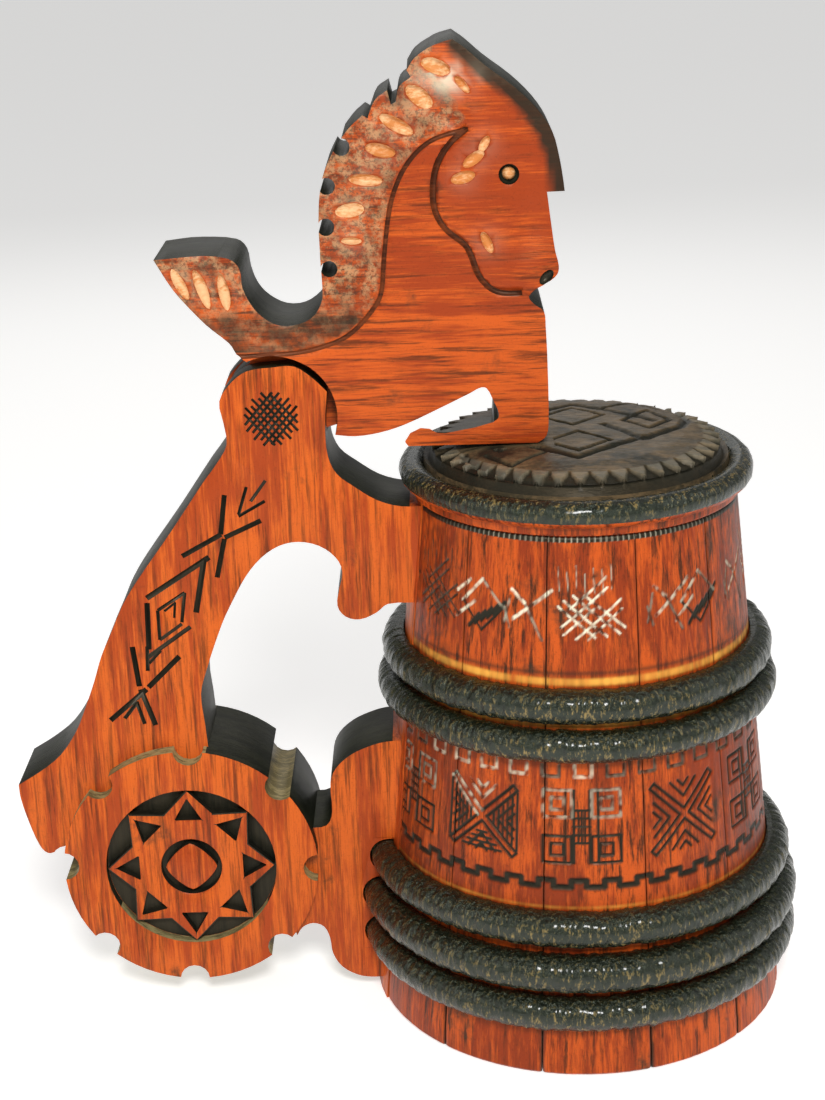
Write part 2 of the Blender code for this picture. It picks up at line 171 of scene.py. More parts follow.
def star_sign(u, z, pale):
    """The cross again, but with its angles hatched until they are nearly black."""
    strokes = cross_sign(u, z, pale)
    for side in (-1, 1):
        for step in range(6):
            reach = 4.0 + step * 1.5
            across = u + side * reach
            strokes.append((across, z - reach + 2.6, across, z + reach - 2.6, 0.5, 0.4, 0.0))
        for step in range(4):
            reach = 5.0 + step * 1.6
            strokes.append((u - reach + 3.2, z - reach, u + reach - 3.2, z - reach, 0.5, 0.4, 0.0))
    return strokes


def lattice_sign(u, z, pale):
    """Scratched lines that cross each other on the slant."""
    falling = ((-4.6, -9.5, 5.5), (-2.1, -9.0, 8.5), (0.9, -7.5, 11.5), (3.3, -4.5, 12.0))
    rising = ((5.0, -4.0, 10.5), (2.4, -10.0, 9.0), (0.2, -10.5, 2.0), (-3.2, -8.0, 10.5), (-5.6, -5.0, 9.0))
    strokes = []
    for lean, family in ((-1, falling), (1, rising)):
        for off, start, end in family:
            side_u, side_z = u - lean * off * 0.60, z + off * 0.80
            strokes.append((side_u + start * 0.80, side_z + lean * start * 0.60,
                            side_u + end * 0.80, side_z + lean * end * 0.60, 0.42, 0.45, pale))
    for step, top in enumerate((9.5, 8.0, 10.0, 7.5, 9.0, 8.5, 9.8)):
        # faint upright scratches over it
        foot_u = u - 10 + step * 2.9
        strokes.append((foot_u, z + top - 3, foot_u - 0.3, z + top + 4, 0.22, 0.2, 0.45 * pale))
    return strokes


def slant_sign(u, z, pale):
    """A slanted cross of single scratches."""
    return [
        (u - 6.0, z + 6.0, u - 1.5, z + 2.5, 0.6, 0.5, pale),
        (u - 1.5, z + 2.5, u + 4.5, z - 8.0, 0.5, 0.4, 0.3 * pale),
        (u + 7.5, z + 6.5, u - 5.5, z - 2.5, 0.6, 0.5, pale),
        (u - 6.5, z + 4.0, u - 8.5, z - 4.0, 0.5, 0.35, 0.4 * pale),
        (u - 8.5, z + 0.5, u - 6.8, z - 5.0, 0.5, 0.35, 0.3 * pale),
    ]


def lozenge_sign(u, z, pale):
    """A lozenge filled with dark hatching, its upper left edges scratched pale."""
    strokes = [
        (u - 8, z, u, z + 7.5, 0.6, 0.5, pale), (u, z + 7.5, u + 8, z, 0.5, 0.5, 0.4 * pale),
        (u - 8, z, u, z - 7.5, 0.5, 0.45, 0.0), (u, z - 7.5, u + 8, z, 0.5, 0.45, 0.0),
        (u - 10.5, z + 2.5, u - 5, z + 6.5, 0.6, 0.5, pale),
        (u - 10.5, z - 5.0, u - 3, z + 0.5, 0.6, 0.5, pale),
    ]
    for step in range(5):
        left, low = u - 5 + step * 2.4, z - 5 + (1.2 * step - 2.0)
        strokes.append((left, low, left + 4, low + 4, 0.8, 0.4, 0.0))
    return strokes


signs = []
for middle_u, sign, pale in (
    (-2.5, knot_sign, 0.35), (30.0, cross_sign, 0.0), (-33.5, star_sign, 0.5), (61.5, knot_sign, 0.0),
    (-64.5, knot_sign, 0.3), (93.0, cross_sign, 0.2), (-95.5, cross_sign, 0.0), (124.5, star_sign, 0.2),
    (-126.5, star_sign, 0.3), (153.0, knot_sign, 0.0), (-154.0, knot_sign, 0.0),
):
    signs += sign(middle_u, LOW_BAND_Z, pale)
for middle_u, sign, pale in (
    (0.5, lattice_sign, 1.0), (-19.5, slant_sign, 1.0), (-36.5, lozenge_sign, 0.9),
    (41.0, lozenge_sign, 0.55), (28.5, slant_sign, 0.6), (-58.0, lattice_sign, 0.05),
    (64.0, slant_sign, 0.5), (84.0, lattice_sign, 0.8), (-80.0, lozenge_sign, 0.4),
    (106.0, lozenge_sign, 0.6), (-103.0, slant_sign, 0.9), (127.0, slant_sign, 0.7),
    (-124.0, lattice_sign, 0.7), (148.0, lattice_sign, 0.6), (-146.0, lozenge_sign, 0.5),
):
    signs += sign(middle_u, HIGH_BAND_Z, pale)
for number in range(-17, 18):
    # a stepped line like a battlement runs over the foot hoops, and open squares hang under the waist hoops
    left = number * 9.6 - 1.2
    right = left + 5.2
    signs += [(left - 4.4, 61.5, left, 61.5, 1.15, 0.6, 0.0), (left, 61.5, left, 59.7, 1.1, 0.6, 0.0),
              (left, 59.5, right, 59.5, 1.15, 0.6, 0.0), (right, 59.5, right, 61.5, 1.1, 0.6, 0.0)]
    hang = number * 9.9 - 2.0
    left, right = hang - 2.6, hang + 2.6
    pale = 0.6 if number in (-5, -4, -3, -2, 0) else 0.1
    signs += [(left, 96.5, left, 93.2, 0.6, 0.5, pale), (left, 93.2, right, 93.2, 0.6, 0.5, pale),
              (right, 93.2, right, 96.5, 0.6, 0.5, pale)]
signs = np.array(signs)


def nearest_cut(u, z, strokes):
    """How deep the knife went at each point, how scorched it is there and how pale."""
    deepest, dark, pale = np.zeros_like(u), np.zeros_like(u), np.zeros_like(u)
    for u0, z0, u1, z1, width, depth, paleness in strokes:
        near = (np.minimum(u0, u1) - 2 < u) & (u < np.maximum(u0, u1) + 2)
        near &= (np.minimum(z0, z1) - 2 < z) & (z < np.maximum(z0, z1) + 2)
        if not near.any():
            continue
        pu, pz = u[near] - u0, z[near] - z0
        length_squared = max((u1 - u0) ** 2 + (z1 - z0) ** 2, 1e-9)
        t = np.clip((pu * (u1 - u0) + pz * (z1 - z0)) / length_squared, 0, 1)
        away = np.hypot(pu - t * (u1 - u0), pz - t * (z1 - z0))
        cut = np.clip(1 - away / (width + 0.15), 0, 1)
        fade = np.clip(1.9 - away / width * 1.6, 0, 1)
        deepest[near] = np.maximum(deepest[near], cut * depth)
        dark[near] = np.maximum(dark[near], fade * (1 - paleness))
        pale[near] = np.maximum(pale[near], fade * paleness)
    return deepest, dark, pale


def wrapped_grid(name, columns, rows, place, closed_rows=False):
    """A sheet of squares laid out by place(column, row), with its first and last columns sewn together."""
    bpy.ops.object.select_all(action="DESELECT")
    bpy.ops.mesh.primitive_grid_add(x_subdivisions=columns, y_subdivisions=rows, size=1)
    sheet = bpy.context.active_object
    sheet.name = name
    flat = np.zeros(len(sheet.data.vertices) * 3)
    sheet.data.vertices.foreach_get("co", flat)
    flat = flat.reshape(-1, 3)
    column = np.rint((flat[:, 0] + 0.5) * columns).astype(int) % columns
    row = np.rint((flat[:, 1] + 0.5) * rows).astype(int)
    if closed_rows:
        row %= rows
    points, masks = place(column, row)
    points = points + np.array((AXIS_X, 0, 0))
    sheet.data.vertices.foreach_set("co", (points * MM).ravel())
    for mask_name, values in masks.items():
        mask = sheet.data.attributes.new(mask_name, "FLOAT", "POINT")
        mask.data.foreach_set("value", values.astype(np.float32))
    bpy.ops.object.mode_set(mode="EDIT")
    bpy.ops.mesh.select_all(action="SELECT")
    bpy.ops.mesh.remove_doubles(threshold=0.00001)
    bpy.ops.mesh.fill_holes(sides=0)
    bpy.ops.mesh.select_all(action="SELECT")
    bpy.ops.mesh.normals_make_consistent(inside=False)
    bpy.ops.object.mode_set(mode="OBJECT")
    bpy.ops.object.shade_smooth_by_angle(angle=math.radians(38))
    return sheet


def add_node(tree, kind, **settings):
    node = tree.nodes.new(kind)
    for key, value in settings.items():
        if key in node.inputs:
            node.inputs[key].default_value = value
        else:
            setattr(node, key, value)
    return node


def mix_colour(tree, factor, first, second):
    mixer = add_node(tree, "ShaderNodeMix", data_type="RGBA")
    for socket, value in ((mixer.inputs[0], factor), (mixer.inputs[6], first), (mixer.inputs[7], second)):
        if isinstance(value, bpy.types.NodeSocket):
            tree.links.new(value, socket)
        else:
            socket.default_value = value
    return mixer.outputs[2]


def sums(tree, operation, first, second, third=None):
    node = add_node(tree, "ShaderNodeMath", operation=operation)
    for socket, value in zip(node.inputs, (first, second, third)):
        if isinstance(value, bpy.types.NodeSocket):
            tree.links.new(value, socket)
        elif value is not None:
            socket.default_value = value
    return node.outputs[0]


def ramp(tree, value, low, high):
    """0 below low, 1 above high, smooth between them."""
    node = add_node(tree, "ShaderNodeMapRange", interpolation_type="SMOOTHSTEP")
    tree.links.new(value, node.inputs["Value"])
    node.inputs["From Min"].default_value = low
    node.inputs["From Max"].default_value = high
    return node.outputs["Result"]


def blotches(tree, where, scale, detail, roughness, distortion=0.0):
    """Uneven patches, finer where the scale is greater."""
    texture = add_node(tree, "ShaderNodeTexNoise", Scale=scale, Detail=detail, Roughness=roughness,
                       Distortion=distortion)
    tree.links.new(where, texture.inputs["Vector"])
    return texture.outputs["Fac"]


def on_piece(tree):
    return add_node(tree, "ShaderNodeTexCoord").outputs["Object"]


def mask_of(tree, mask_name):
    return add_node(tree, "ShaderNodeAttribute", attribute_name=mask_name).outputs["Fac"]


# Stained wood: long streaks of grain along one direction, dark pores, slow changes of tone and a few
# rubbed places where the stain is thin. Light, Middle and Dark are its three tones.
grain = bpy.data.node_groups.new("stained_grain", "ShaderNodeTree")
for socket_name, kind, value in (
    ("Along", "NodeSocketVector", (1, 1, 0.07)),
    ("Light", "NodeSocketColor", (0.72, 0.19, 0.03, 1)),
    ("Middle", "NodeSocketColor", (0.45, 0.075, 0.014, 1)),
    ("Dark", "NodeSocketColor", (0.06, 0.012, 0.006, 1)),
    ("Streaks", "NodeSocketFloat", 0.5),
):
    socket = grain.interface.new_socket(socket_name, in_out="INPUT", socket_type=kind)
    socket.default_value = value
for socket_name, kind in (
    ("Colour", "NodeSocketColor"), ("Roughness", "NodeSocketFloat"), ("Height", "NodeSocketFloat"),
):
    grain.interface.new_socket(socket_name, in_out="OUTPUT", socket_type=kind)
grain_in = grain.nodes.new("NodeGroupInput")
grain_out = grain.nodes.new("NodeGroupOutput")
where = on_piece(grain)
stretched = add_node(grain, "ShaderNodeVectorMath", operation="MULTIPLY")
grain.links.new(where, stretched.inputs[0])
grain.links.new(grain_in.outputs["Along"], stretched.inputs[1])
fibres = blotches(grain, stretched.outputs[0], 1500.0, 6.0, 0.65, 0.2)
bands = blotches(grain, stretched.outputs[0], 230.0, 4.0, 0.55, 0.4)
pores = blotches(grain, stretched.outputs[0], 620.0, 6.0, 0.72)
clouds = blotches(grain, where, 28.0, 4.0, 0.6)
speckle = blotches(grain, where, 1500.0, 2.0, 0.7)
tone = sums(grain, "MULTIPLY", bands, 0.55)
tone = sums(grain, "MULTIPLY_ADD", fibres, 0.45, tone)
tone = sums(grain, "MULTIPLY_ADD", clouds, 0.5, sums(grain, "SUBTRACT", tone, 0.25))
lightness = ramp(grain, tone, 0.42, 0.58)
base_tone = mix_colour(grain, lightness, grain_in.outputs["Middle"], grain_in.outputs["Light"])
streak = ramp(grain, pores, 0.48, 0.63)
streak = sums(grain, "MULTIPLY", streak, ramp(grain, clouds, 0.30, 0.58))
streak = sums(grain, "MULTIPLY", streak, grain_in.outputs["Streaks"])
streaked = mix_colour(grain, streak, base_tone, grain_in.outputs["Dark"])
flecks = sums(grain, "MULTIPLY", ramp(grain, speckle, 0.54, 0.72), 0.3)
flecks = sums(grain, "MULTIPLY", flecks, grain_in.outputs["Streaks"])
flecked = mix_colour(grain, flecks, streaked, grain_in.outputs["Dark"])
grain.links.new(flecked, grain_out.inputs["Colour"])
grain.links.new(sums(grain, "MULTIPLY_ADD", clouds, 0.3, 0.28), grain_out.inputs["Roughness"])
raised = sums(grain, "SUBTRACT", tone, sums(grain, "MULTIPLY", streak, 0.5))
grain.links.new(raised, grain_out.inputs["Height"])


def wood(name, light, middle, dark, along=(1, 1, 0.045), streaks=0.5, bump=0.25, coat=0.06, shine=0.26,
         masks=True, soot=0.0, amber=False, gritty=False):
    """A wood finish. Where a piece has its two cut masks, its cuts are black or pale; on the staves and the
    horse the same masks also lay painted shade and painted highlights.
    Soot darkens it in patches, amber turns masked lines orange, and grit wears a masked part pale."""
    finish = bpy.data.materials.new(name)
    finish.use_nodes = True
    tree = finish.node_tree
    shader = tree.nodes["Principled BSDF"]
    fibre = add_node(tree, "ShaderNodeGroup", node_tree=grain)
    for socket_name, value in (
        ("Along", along), ("Light", light), ("Middle", middle), ("Dark", dark), ("Streaks", streaks),
    ):
        fibre.inputs[socket_name].default_value = value
    colour = fibre.outputs["Colour"]
    if soot:
        patches = blotches(tree, on_piece(tree), 55.0, 6.0, 0.65)
        thick = ramp(tree, patches, 0.62 - soot * 0.4, 0.80 - soot * 0.4)
        colour = mix_colour(tree, thick, colour, (0.016, 0.017, 0.012, 1))
    if gritty:
        mane = mask_of(tree, "mane")
        where = on_piece(tree)
        grit = blotches(tree, where, 1100.0, 3.0, 0.75)
        worn = blotches(tree, where, 260.0, 5.0, 0.7)
        thin = sums(tree, "MULTIPLY", ramp(tree, worn, 0.42, 0.60), mane)
        colour = mix_colour(tree, sums(tree, "MULTIPLY", thin, 0.7), colour, (0.50, 0.29, 0.14, 1))
        dirt = sums(tree, "MULTIPLY", ramp(tree, grit, 0.50, 0.60), mane)
        colour = mix_colour(tree, sums(tree, "MULTIPLY", dirt, 0.6), colour, (0.035, 0.028, 0.020, 1))
    if amber:
        colour = mix_colour(tree, mask_of(tree, "amber"), colour, (0.95, 0.45, 0.07, 1))
    if masks:
        # the dark mask is scorched cuts and painted shade, the pale one scratches and painted highlights
        colour = mix_colour(tree, mask_of(tree, "scorch_and_shade"), colour, (0.010, 0.011, 0.008, 1))
        colour = mix_colour(tree, mask_of(tree, "scratch_and_highlight"), colour, (0.80, 0.74, 0.55, 1))
    tree.links.new(colour, shader.inputs["Base Color"])
    tree.links.new(fibre.outputs["Roughness"], shader.inputs["Roughness"])
    shader.inputs["Specular IOR Level"].default_value = shine
    shader.inputs["Specular Tint"].default_value = (1, 0.78, 0.5, 1)
    shader.inputs["Coat Weight"].default_value = coat
    shader.inputs["Coat Roughness"].default_value = 0.3
    relief = add_node(tree, "ShaderNodeBump", Strength=bump, Distance=0.0006)
    tree.links.new(fibre.outputs["Height"], relief.inputs["Height"])
    tree.links.new(relief.outputs["Normal"], shader.inputs["Normal"])
    return finish


stave_finish = wood(
    "stained_stave", (0.54, 0.082, 0.009, 1), (0.25, 0.029, 0.005, 1), (0.018, 0.006, 0.003, 1),
    streaks=0.9, amber=True, soot=0.1,
)

fine_low = np.arange(52.0, 99.0, 0.4)
fine_high = np.arange(119.0, 163.0, 0.4)
levels = np.concatenate([
    [0.0, 0.6, 6.0, HEAD_LOW - 0.3, HEAD_LOW - 0.29, HEAD_HIGH + 0.3, HEAD_HIGH + 0.31, 34, 45],
    fine_low,
    [99.5, 105, 107.4, 108.0, 109.0, 110.0, 110.6, 112, 118],
    fine_high,
    [162.9, MOUTH_Z],
])
OUTER_STEPS, INNER_STEPS = 74, 8


def stave_points(middle_deg):
    half = STAVE_DEG / 2 - math.degrees(JOINT / wall_radius(MOUTH_Z))

    def place(column, row):
        z = levels[row]
        outside = column <= OUTER_STEPS
        share = np.where(outside, column / OUTER_STEPS, 1 - (column - OUTER_STEPS - 1) / (INNER_STEPS - 1))
        angle = np.radians(middle_deg + (share * 2 - 1) * half)
        from_joint = (1 - np.abs(share * 2 - 1)) * np.radians(half) * SIGN_RADIUS
        u = (np.degrees(angle) - 270 + 180) % 360 - 180
        u = np.radians(u) * SIGN_RADIUS
        deep, dark, pale = nearest_cut(u, z, signs)
        crumbs = np.array([noise.noise(Vector((a * 0.55, b * 0.45, 7.0))) for a, b in zip(u, z)])
        kept = np.clip(0.62 + crumbs * 1.9, 0, 1)
        dark = np.maximum(dark, pale * (1 - kept) * 0.75)
        pale = pale * kept
        # painted shade darkens both flanks as they turn away from the front
        flank_shade = np.clip(0.55 + crumbs * 0.9, 0, 1) * np.clip((np.abs(u) - 38) / 22, 0, 1) * (z > 45)
        dark = np.maximum(dark, 0.55 * flank_shade)
        below_hoops = z < 16      # where the joints are most worn
        worn = np.where(below_hoops, 0.4, 0.16) * np.exp(-(from_joint / 0.4) ** 2)
        tooled = np.array([noise.noise(Vector((a * 0.55, b * 0.05, middle_deg))) for a, b in zip(u, z)])
        tooled *= 0.09
        rim = 0.8 * np.exp(-((MOUTH_Z - z) / 0.5) ** 2) + 0.8 * np.exp(-(z / 0.6) ** 2)
        radius = wall_radius(z) - deep - worn + tooled - 0.09 - rim
        croze = (z > HEAD_LOW - 0.3 + 0.005) & (z < HEAD_HIGH + 0.305)
        inner = wall_radius(z) - WALL + CROZE * croze + 0.4 * rim
        radius = np.where(outside, radius, inner)
        dark = np.maximum(dark, np.where(below_hoops, 0.9, 0.45) * np.exp(-(from_joint / 0.35) ** 2))
        # a dark groove runs under the mouth, partly burnt and partly painted shade of the gap under the lid;
        # its pale nicks, kept to the front, are painted glints
        rim_groove = (z > 161.7) & (z < 163.3) & outside
        front_glints = 0.45 * (np.sin(u * 3.2) * 0.5 + 0.5) ** 8 * np.clip(np.cos(u / 40), 0, 1)
        dark = np.where(rim_groove, 1.0, dark) * outside
        pale = np.where(rim_groove, front_glints, pale) * outside
        # painted shade in two thin bands: under the lower waist hoop and a little above the upper one
        shade = 0.6 * np.exp(-((z - 123.9) / 0.7) ** 2) + 0.6 * np.exp(-((z - 98.2) / 0.9) ** 2)
        dark = np.maximum(dark, shade * outside)
        # turned lines beside the waist hoops and over the foot, rubbed to amber
        amber = sum(
            much * np.exp(-((z - level) / width) ** 4)
            for level, width, much in ((121.3, 1.1, 1.0), (109.0, 1.2, 0.9), (53.2, 0.45, 0.4))
        )
        amber = amber * (0.7 + 0.3 * np.sin(u * 0.21) * np.sin(u * 0.083 + 1) + tooled * 5)
        points = np.stack([radius * np.cos(angle), radius * np.sin(angle), z], 1)
        masks = {"scorch_and_shade": dark, "scratch_and_highlight": pale, "amber": np.clip(amber, 0, 1) * outside}
        return points, masks

    return place


for number in range(11):
    stave_name = f"stave_{number + 1:02d}"
    middle = FIRST_STAVE_DEG + STAVE_DEG * (number + 0.5)
    stave = wrapped_grid(
        f"carved_{stave_name}", OUTER_STEPS + 1 + INNER_STEPS, len(levels) - 1, stave_points(middle),
    )
    stave.data.materials.append(stave_finish)
    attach(stave, "vessel")
    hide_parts(stave_name)


# --- Bottom head ---
# Three boards of bare wood held edge to edge, grooved along their seams. The bevelled rim is sprung into
# the groove that runs round inside the staves, with no glue.
SEAMS = (-18.5, 17.0)
pale_finish = wood(
    "pale_bare_wood", (0.42, 0.20, 0.07, 1), (0.26, 0.10, 0.035, 1), (0.05, 0.02, 0.01, 1),
    along=(0.07, 1, 1), streaks=0.5, coat=0.0, masks=False,
)
head_middle = (HEAD_LOW + HEAD_HIGH) / 2
head_radius = wall_radius(head_middle) - WALL + CROZE - 0.6


def take_up(piece):
    """Makes this piece the only one selected, and the active one."""
    bpy.ops.object.select_all(action="DESELECT")
    piece.select_set(True)
    bpy.context.view_layer.objects.active = piece


def apply_to(piece, kind, **settings):
    take_up(piece)
    modifier = piece.modifiers.new(kind.lower(), kind)
    for key, value in settings.items():
        setattr(modifier, key, value)
    bpy.ops.object.modifier_apply(modifier=modifier.name)


def soften(piece, width, over_deg, segments=2):
    """Rounds off the edges that are sharper than over_deg."""
    apply_to(piece, "BEVEL", width=width * MM, segments=segments, limit_method="ANGLE",
             angle_limit=math.radians(over_deg))


bpy.ops.object.select_all(action="DESELECT")
bpy.ops.mesh.primitive_cylinder_add(
    vertices=96, radius=head_radius * MM, depth=(HEAD_HIGH - HEAD_LOW) * MM,
    location=(AXIS_X * MM, 0, head_middle * MM),
)
head = bpy.context.active_object
head.name = "planked_bottom_head"
bpy.ops.object.transform_apply(location=True)
bpy.ops.object.mode_set(mode="EDIT")
for seam_y in SEAMS:
    for side in (-0.35, 0.0, 0.35):
        bpy.ops.mesh.select_all(action="SELECT")
        bpy.ops.mesh.bisect(plane_co=(0, (seam_y + side) * MM, 0), plane_no=(0, 1, 0))
bpy.ops.object.mode_set(mode="OBJECT")
for vertex in head.data.vertices:
    if any(abs(vertex.co.y / MM - seam_y) < 0.01 for seam_y in SEAMS):
        vertex.co.z += 0.6 * MM if vertex.co.z < head_middle * MM else -0.6 * MM
soften(head, 1.2, 60)
bpy.ops.object.shade_smooth_by_angle(angle=math.radians(30))
head.data.materials.append(pale_finish)
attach(head, "vessel")
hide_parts("bottom_head")


# --- Hoops ---
# Split withies, round outside and flat against the staves, smoked nearly black. Their skin is pitted, and
# handling has rubbed it through to brown along their fronts.
# Each row is a node, the height of its middle, the radius of the ring it makes and half its thickness.
HOOPS = (
    ("hoop_foot", 20.8, 63.7, 5.55),
    ("hoop_foot_middle", 34.1, 63.4, 6.0),
    ("hoop_foot_upper", 47.3, 61.05, 5.7),
    ("hoop_waist_lower", 103.2, 56.2, 5.1),
    ("hoop_waist_upper", 114.7, 54.27, 5.4),
)
withy_finish = bpy.data.materials.new("smoked_withy")
withy_finish.use_nodes = True
tree = withy_finish.node_tree
shader = tree.nodes["Principled BSDF"]
upright = add_node(tree, "ShaderNodeVectorMath", operation="MULTIPLY")
upright.inputs[1].default_value = (1, 1, 0.35)
tree.links.new(on_piece(tree), upright.inputs[0])
dints = add_node(tree, "ShaderNodeTexVoronoi", Scale=800.0, feature="SMOOTH_F1", Smoothness=0.6)
tree.links.new(upright.outputs[0], dints.inputs["Vector"])
stains = blotches(tree, upright.outputs[0], 900.0, 5.0, 0.72)
smoke = ramp(tree, stains, 0.38, 0.62)
smoke = mix_colour(tree, smoke, (0.002, 0.004, 0.002, 1), (0.016, 0.020, 0.010, 1))
showing = sums(tree, "MULTIPLY", ramp(tree, stains, 0.53, 0.66), mask_of(tree, "rubbed"))
browned = mix_colour(tree, showing, smoke, (0.30, 0.20, 0.06, 1))
tree.links.new(browned, shader.inputs["Base Color"])
tree.links.new(sums(tree, "MULTIPLY_ADD", stains, 0.4, 0.05), shader.inputs["Roughness"])
shader.inputs["Specular IOR Level"].default_value = 0.4
shader.inputs["Specular Tint"].default_value = (0.88, 1, 0.80, 1)
shader.inputs["Coat Weight"].default_value = 0.35
shader.inputs["Coat Roughness"].default_value = 0.12
relief = add_node(tree, "ShaderNodeBump", Strength=0.8, Distance=0.0007)
tree.links.new(sums(tree, "ADD", dints.outputs["Distance"], stains), relief.inputs["Height"])
tree.links.new(relief.outputs["Normal"], shader.inputs["Normal"])

ROUND, SECTION, ARC = 700, 24, 21      # squares round the ring, round the section and over its round part


def withy_points(height, radius, thick):
    low, top = [
        side * math.acos((wall_radius(height + side * thick) + 0.3 - radius) / thick) for side in (-1, 1)
    ]

    def place(column, row):
        around = 2 * math.pi * row / ROUND
        angle = low + (top - low) * np.clip(column / ARC, 0, 1)
        flat = column > ARC
        back = (column - ARC) / (SECTION - ARC)
        angle = np.where(flat, top, angle)
        out, up = thick * np.cos(angle), thick * np.sin(angle)
        out = np.where(flat, out + (math.cos(low) * thick - out) * back, out)
        up = np.where(flat, up + (math.sin(low) * thick - up) * back, up)
        x, y = np.cos(around), np.sin(around)
        rough = np.array([
            noise.noise(Vector((a * 0.62, b * 0.62, c * 0.16 + height)))
            + 0.5 * noise.noise(Vector((a * 0.2, b * 0.2, c * 0.3 - height)))
            for a, b, c in zip(x * radius, y * radius, up)
        ])
        swell = (rough * 0.42 - 0.32) * ~flat
        reach = radius + out + swell * np.cos(angle)
        points = np.stack([reach * x, reach * y, height + up + swell * np.sin(angle)], 1)
        wear = np.clip(1.0 - np.abs(angle + 0.25) * 0.5, 0, 1) * (0.2 + 0.8 * np.clip(-y, 0, 1) ** 2)
        return points, {"rubbed": wear * ~flat}

    return place


for hoop_name, height, radius, thick in HOOPS:
    hoop = wrapped_grid(
        f"withy_{hoop_name}", SECTION, ROUND, withy_points(height, radius, thick), closed_rows=True,
    )
    hoop.data.materials.append(withy_finish)
    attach(hoop, "vessel")
    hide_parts(hoop_name)

# --- Handle ---
# One plank makes the wide stave, the arm, the lug and the wheel. Its faces are stained and varnished, its
# sawn edges sooty, with a painted olive highlight where they face down, in the notches, low in the wheel and
# on the step of its rim. Signs are knife-cut in both faces, and the carving over the fork hides the ends of
# the hinge pin.
PLANK_HALF, WHEEL_HALF = 13.2, 18.0
PIVOT_X, PIVOT_Z, PIN_RADIUS = -87.6, 191.0, 4.0
WHEEL_X, WHEEL_Z, ROSETTE_RADIUS, ROSETTE_DEPTH = -121.0, 47.5, 26.5, 3.5


def spot(x, y, z):
    """A place in metres from millimetres round the vessel's axis."""
    return ((x + AXIS_X) * MM, y * MM, z * MM)


def copy_of(node, name):
    """The node's own shape as a new piece, its triangles sewn together and its flat faces made whole."""
    copy = bpy.data.objects.new(name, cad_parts[node].data.copy())
    bpy.context.scene.collection.objects.link(copy)
    copy.data.materials.clear()
    take_up(copy)
    bpy.ops.object.mode_set(mode="EDIT")
    bpy.ops.mesh.select_all(action="SELECT")
    bpy.ops.mesh.remove_doubles(threshold=0.00001)
    bpy.ops.mesh.dissolve_limited(angle_limit=math.radians(0.4))
    bpy.ops.mesh.normals_make_consistent(inside=False)
    bpy.ops.object.mode_set(mode="OBJECT")
    return copy


def cut(piece, cutter, operation="DIFFERENCE"):
    """Takes the cutter out of the piece. Each cut face keeps the cutter's own finish."""
    apply_to(piece, "BOOLEAN", object=cutter, operation=operation, use_self=True, material_mode="TRANSFER")
    bpy.data.objects.remove(cutter)


def joined(name, pieces):
    bpy.ops.object.select_all(action="DESELECT")
    for one in pieces:
        one.select_set(True)
    bpy.context.view_layer.objects.active = pieces[0]
    bpy.ops.object.join()
    pieces[0].name = name
    bpy.ops.object.transform_apply(location=True, rotation=True, scale=True)
    return pieces[0]


def rod(x, z, radius, near, far, sides=32):
    """A round rod along Y."""
    bpy.ops.object.select_all(action="DESELECT")
    bpy.ops.mesh.primitive_cylinder_add(
        vertices=sides, radius=radius * MM, depth=(far - near) * MM, location=spot(x, (near + far) / 2, z),
        rotation=(math.pi / 2, 0, 0),
    )
    return bpy.context.active_object


def knife(strokes, face):
    """V-cuts: square bars half sunk in the faces at y = -face and +face, corner down."""
    bars = []
    for side in (-face, face):
        for x0, z0, x1, z1, wide in strokes:
            length = math.hypot(x1 - x0, z1 - z0)
            bpy.ops.mesh.primitive_cylinder_add(
                vertices=4, radius=wide * 0.38 * MM, depth=length * MM,
                location=spot((x0 + x1) / 2, side, (z0 + z1) / 2),
                rotation=(0, math.atan2(x1 - x0, z1 - z0), 0),
            )
            bars.append(bpy.context.active_object)
    return joined("knife", bars)


handle_finish = wood(
    "varnished_handle", (0.62, 0.110, 0.012, 1), (0.36, 0.046, 0.007, 1), (0.020, 0.007, 0.003, 1),
    along=(1, 0.5, 0.05), streaks=0.65, masks=False, soot=0.08,
)
scorched_finish = wood(
    "scorched_cut", (0.022, 0.020, 0.013, 1), (0.010, 0.011, 0.008, 1), (0.004, 0.004, 0.004, 1),
    streaks=0.3, coat=0.1, masks=False,
)
sooty_finish = wood(
    "sooty_edge", (0.020, 0.022, 0.013, 1), (0.008, 0.010, 0.006, 1), (0.003, 0.004, 0.003, 1),
    along=(0.3, 1, 0.3), streaks=0.5, coat=0.0, shine=0.14, masks=False,
)
# a light olive for sawn edges: a painted highlight where they catch the light
lit_olive_finish = wood(
    "lit_olive_edge", (0.34, 0.27, 0.12, 1), (0.15, 0.12, 0.05, 1), (0.03, 0.03, 0.015, 1),
    along=(0.3, 1, 0.3), streaks=0.7, coat=0.1, masks=False,
)

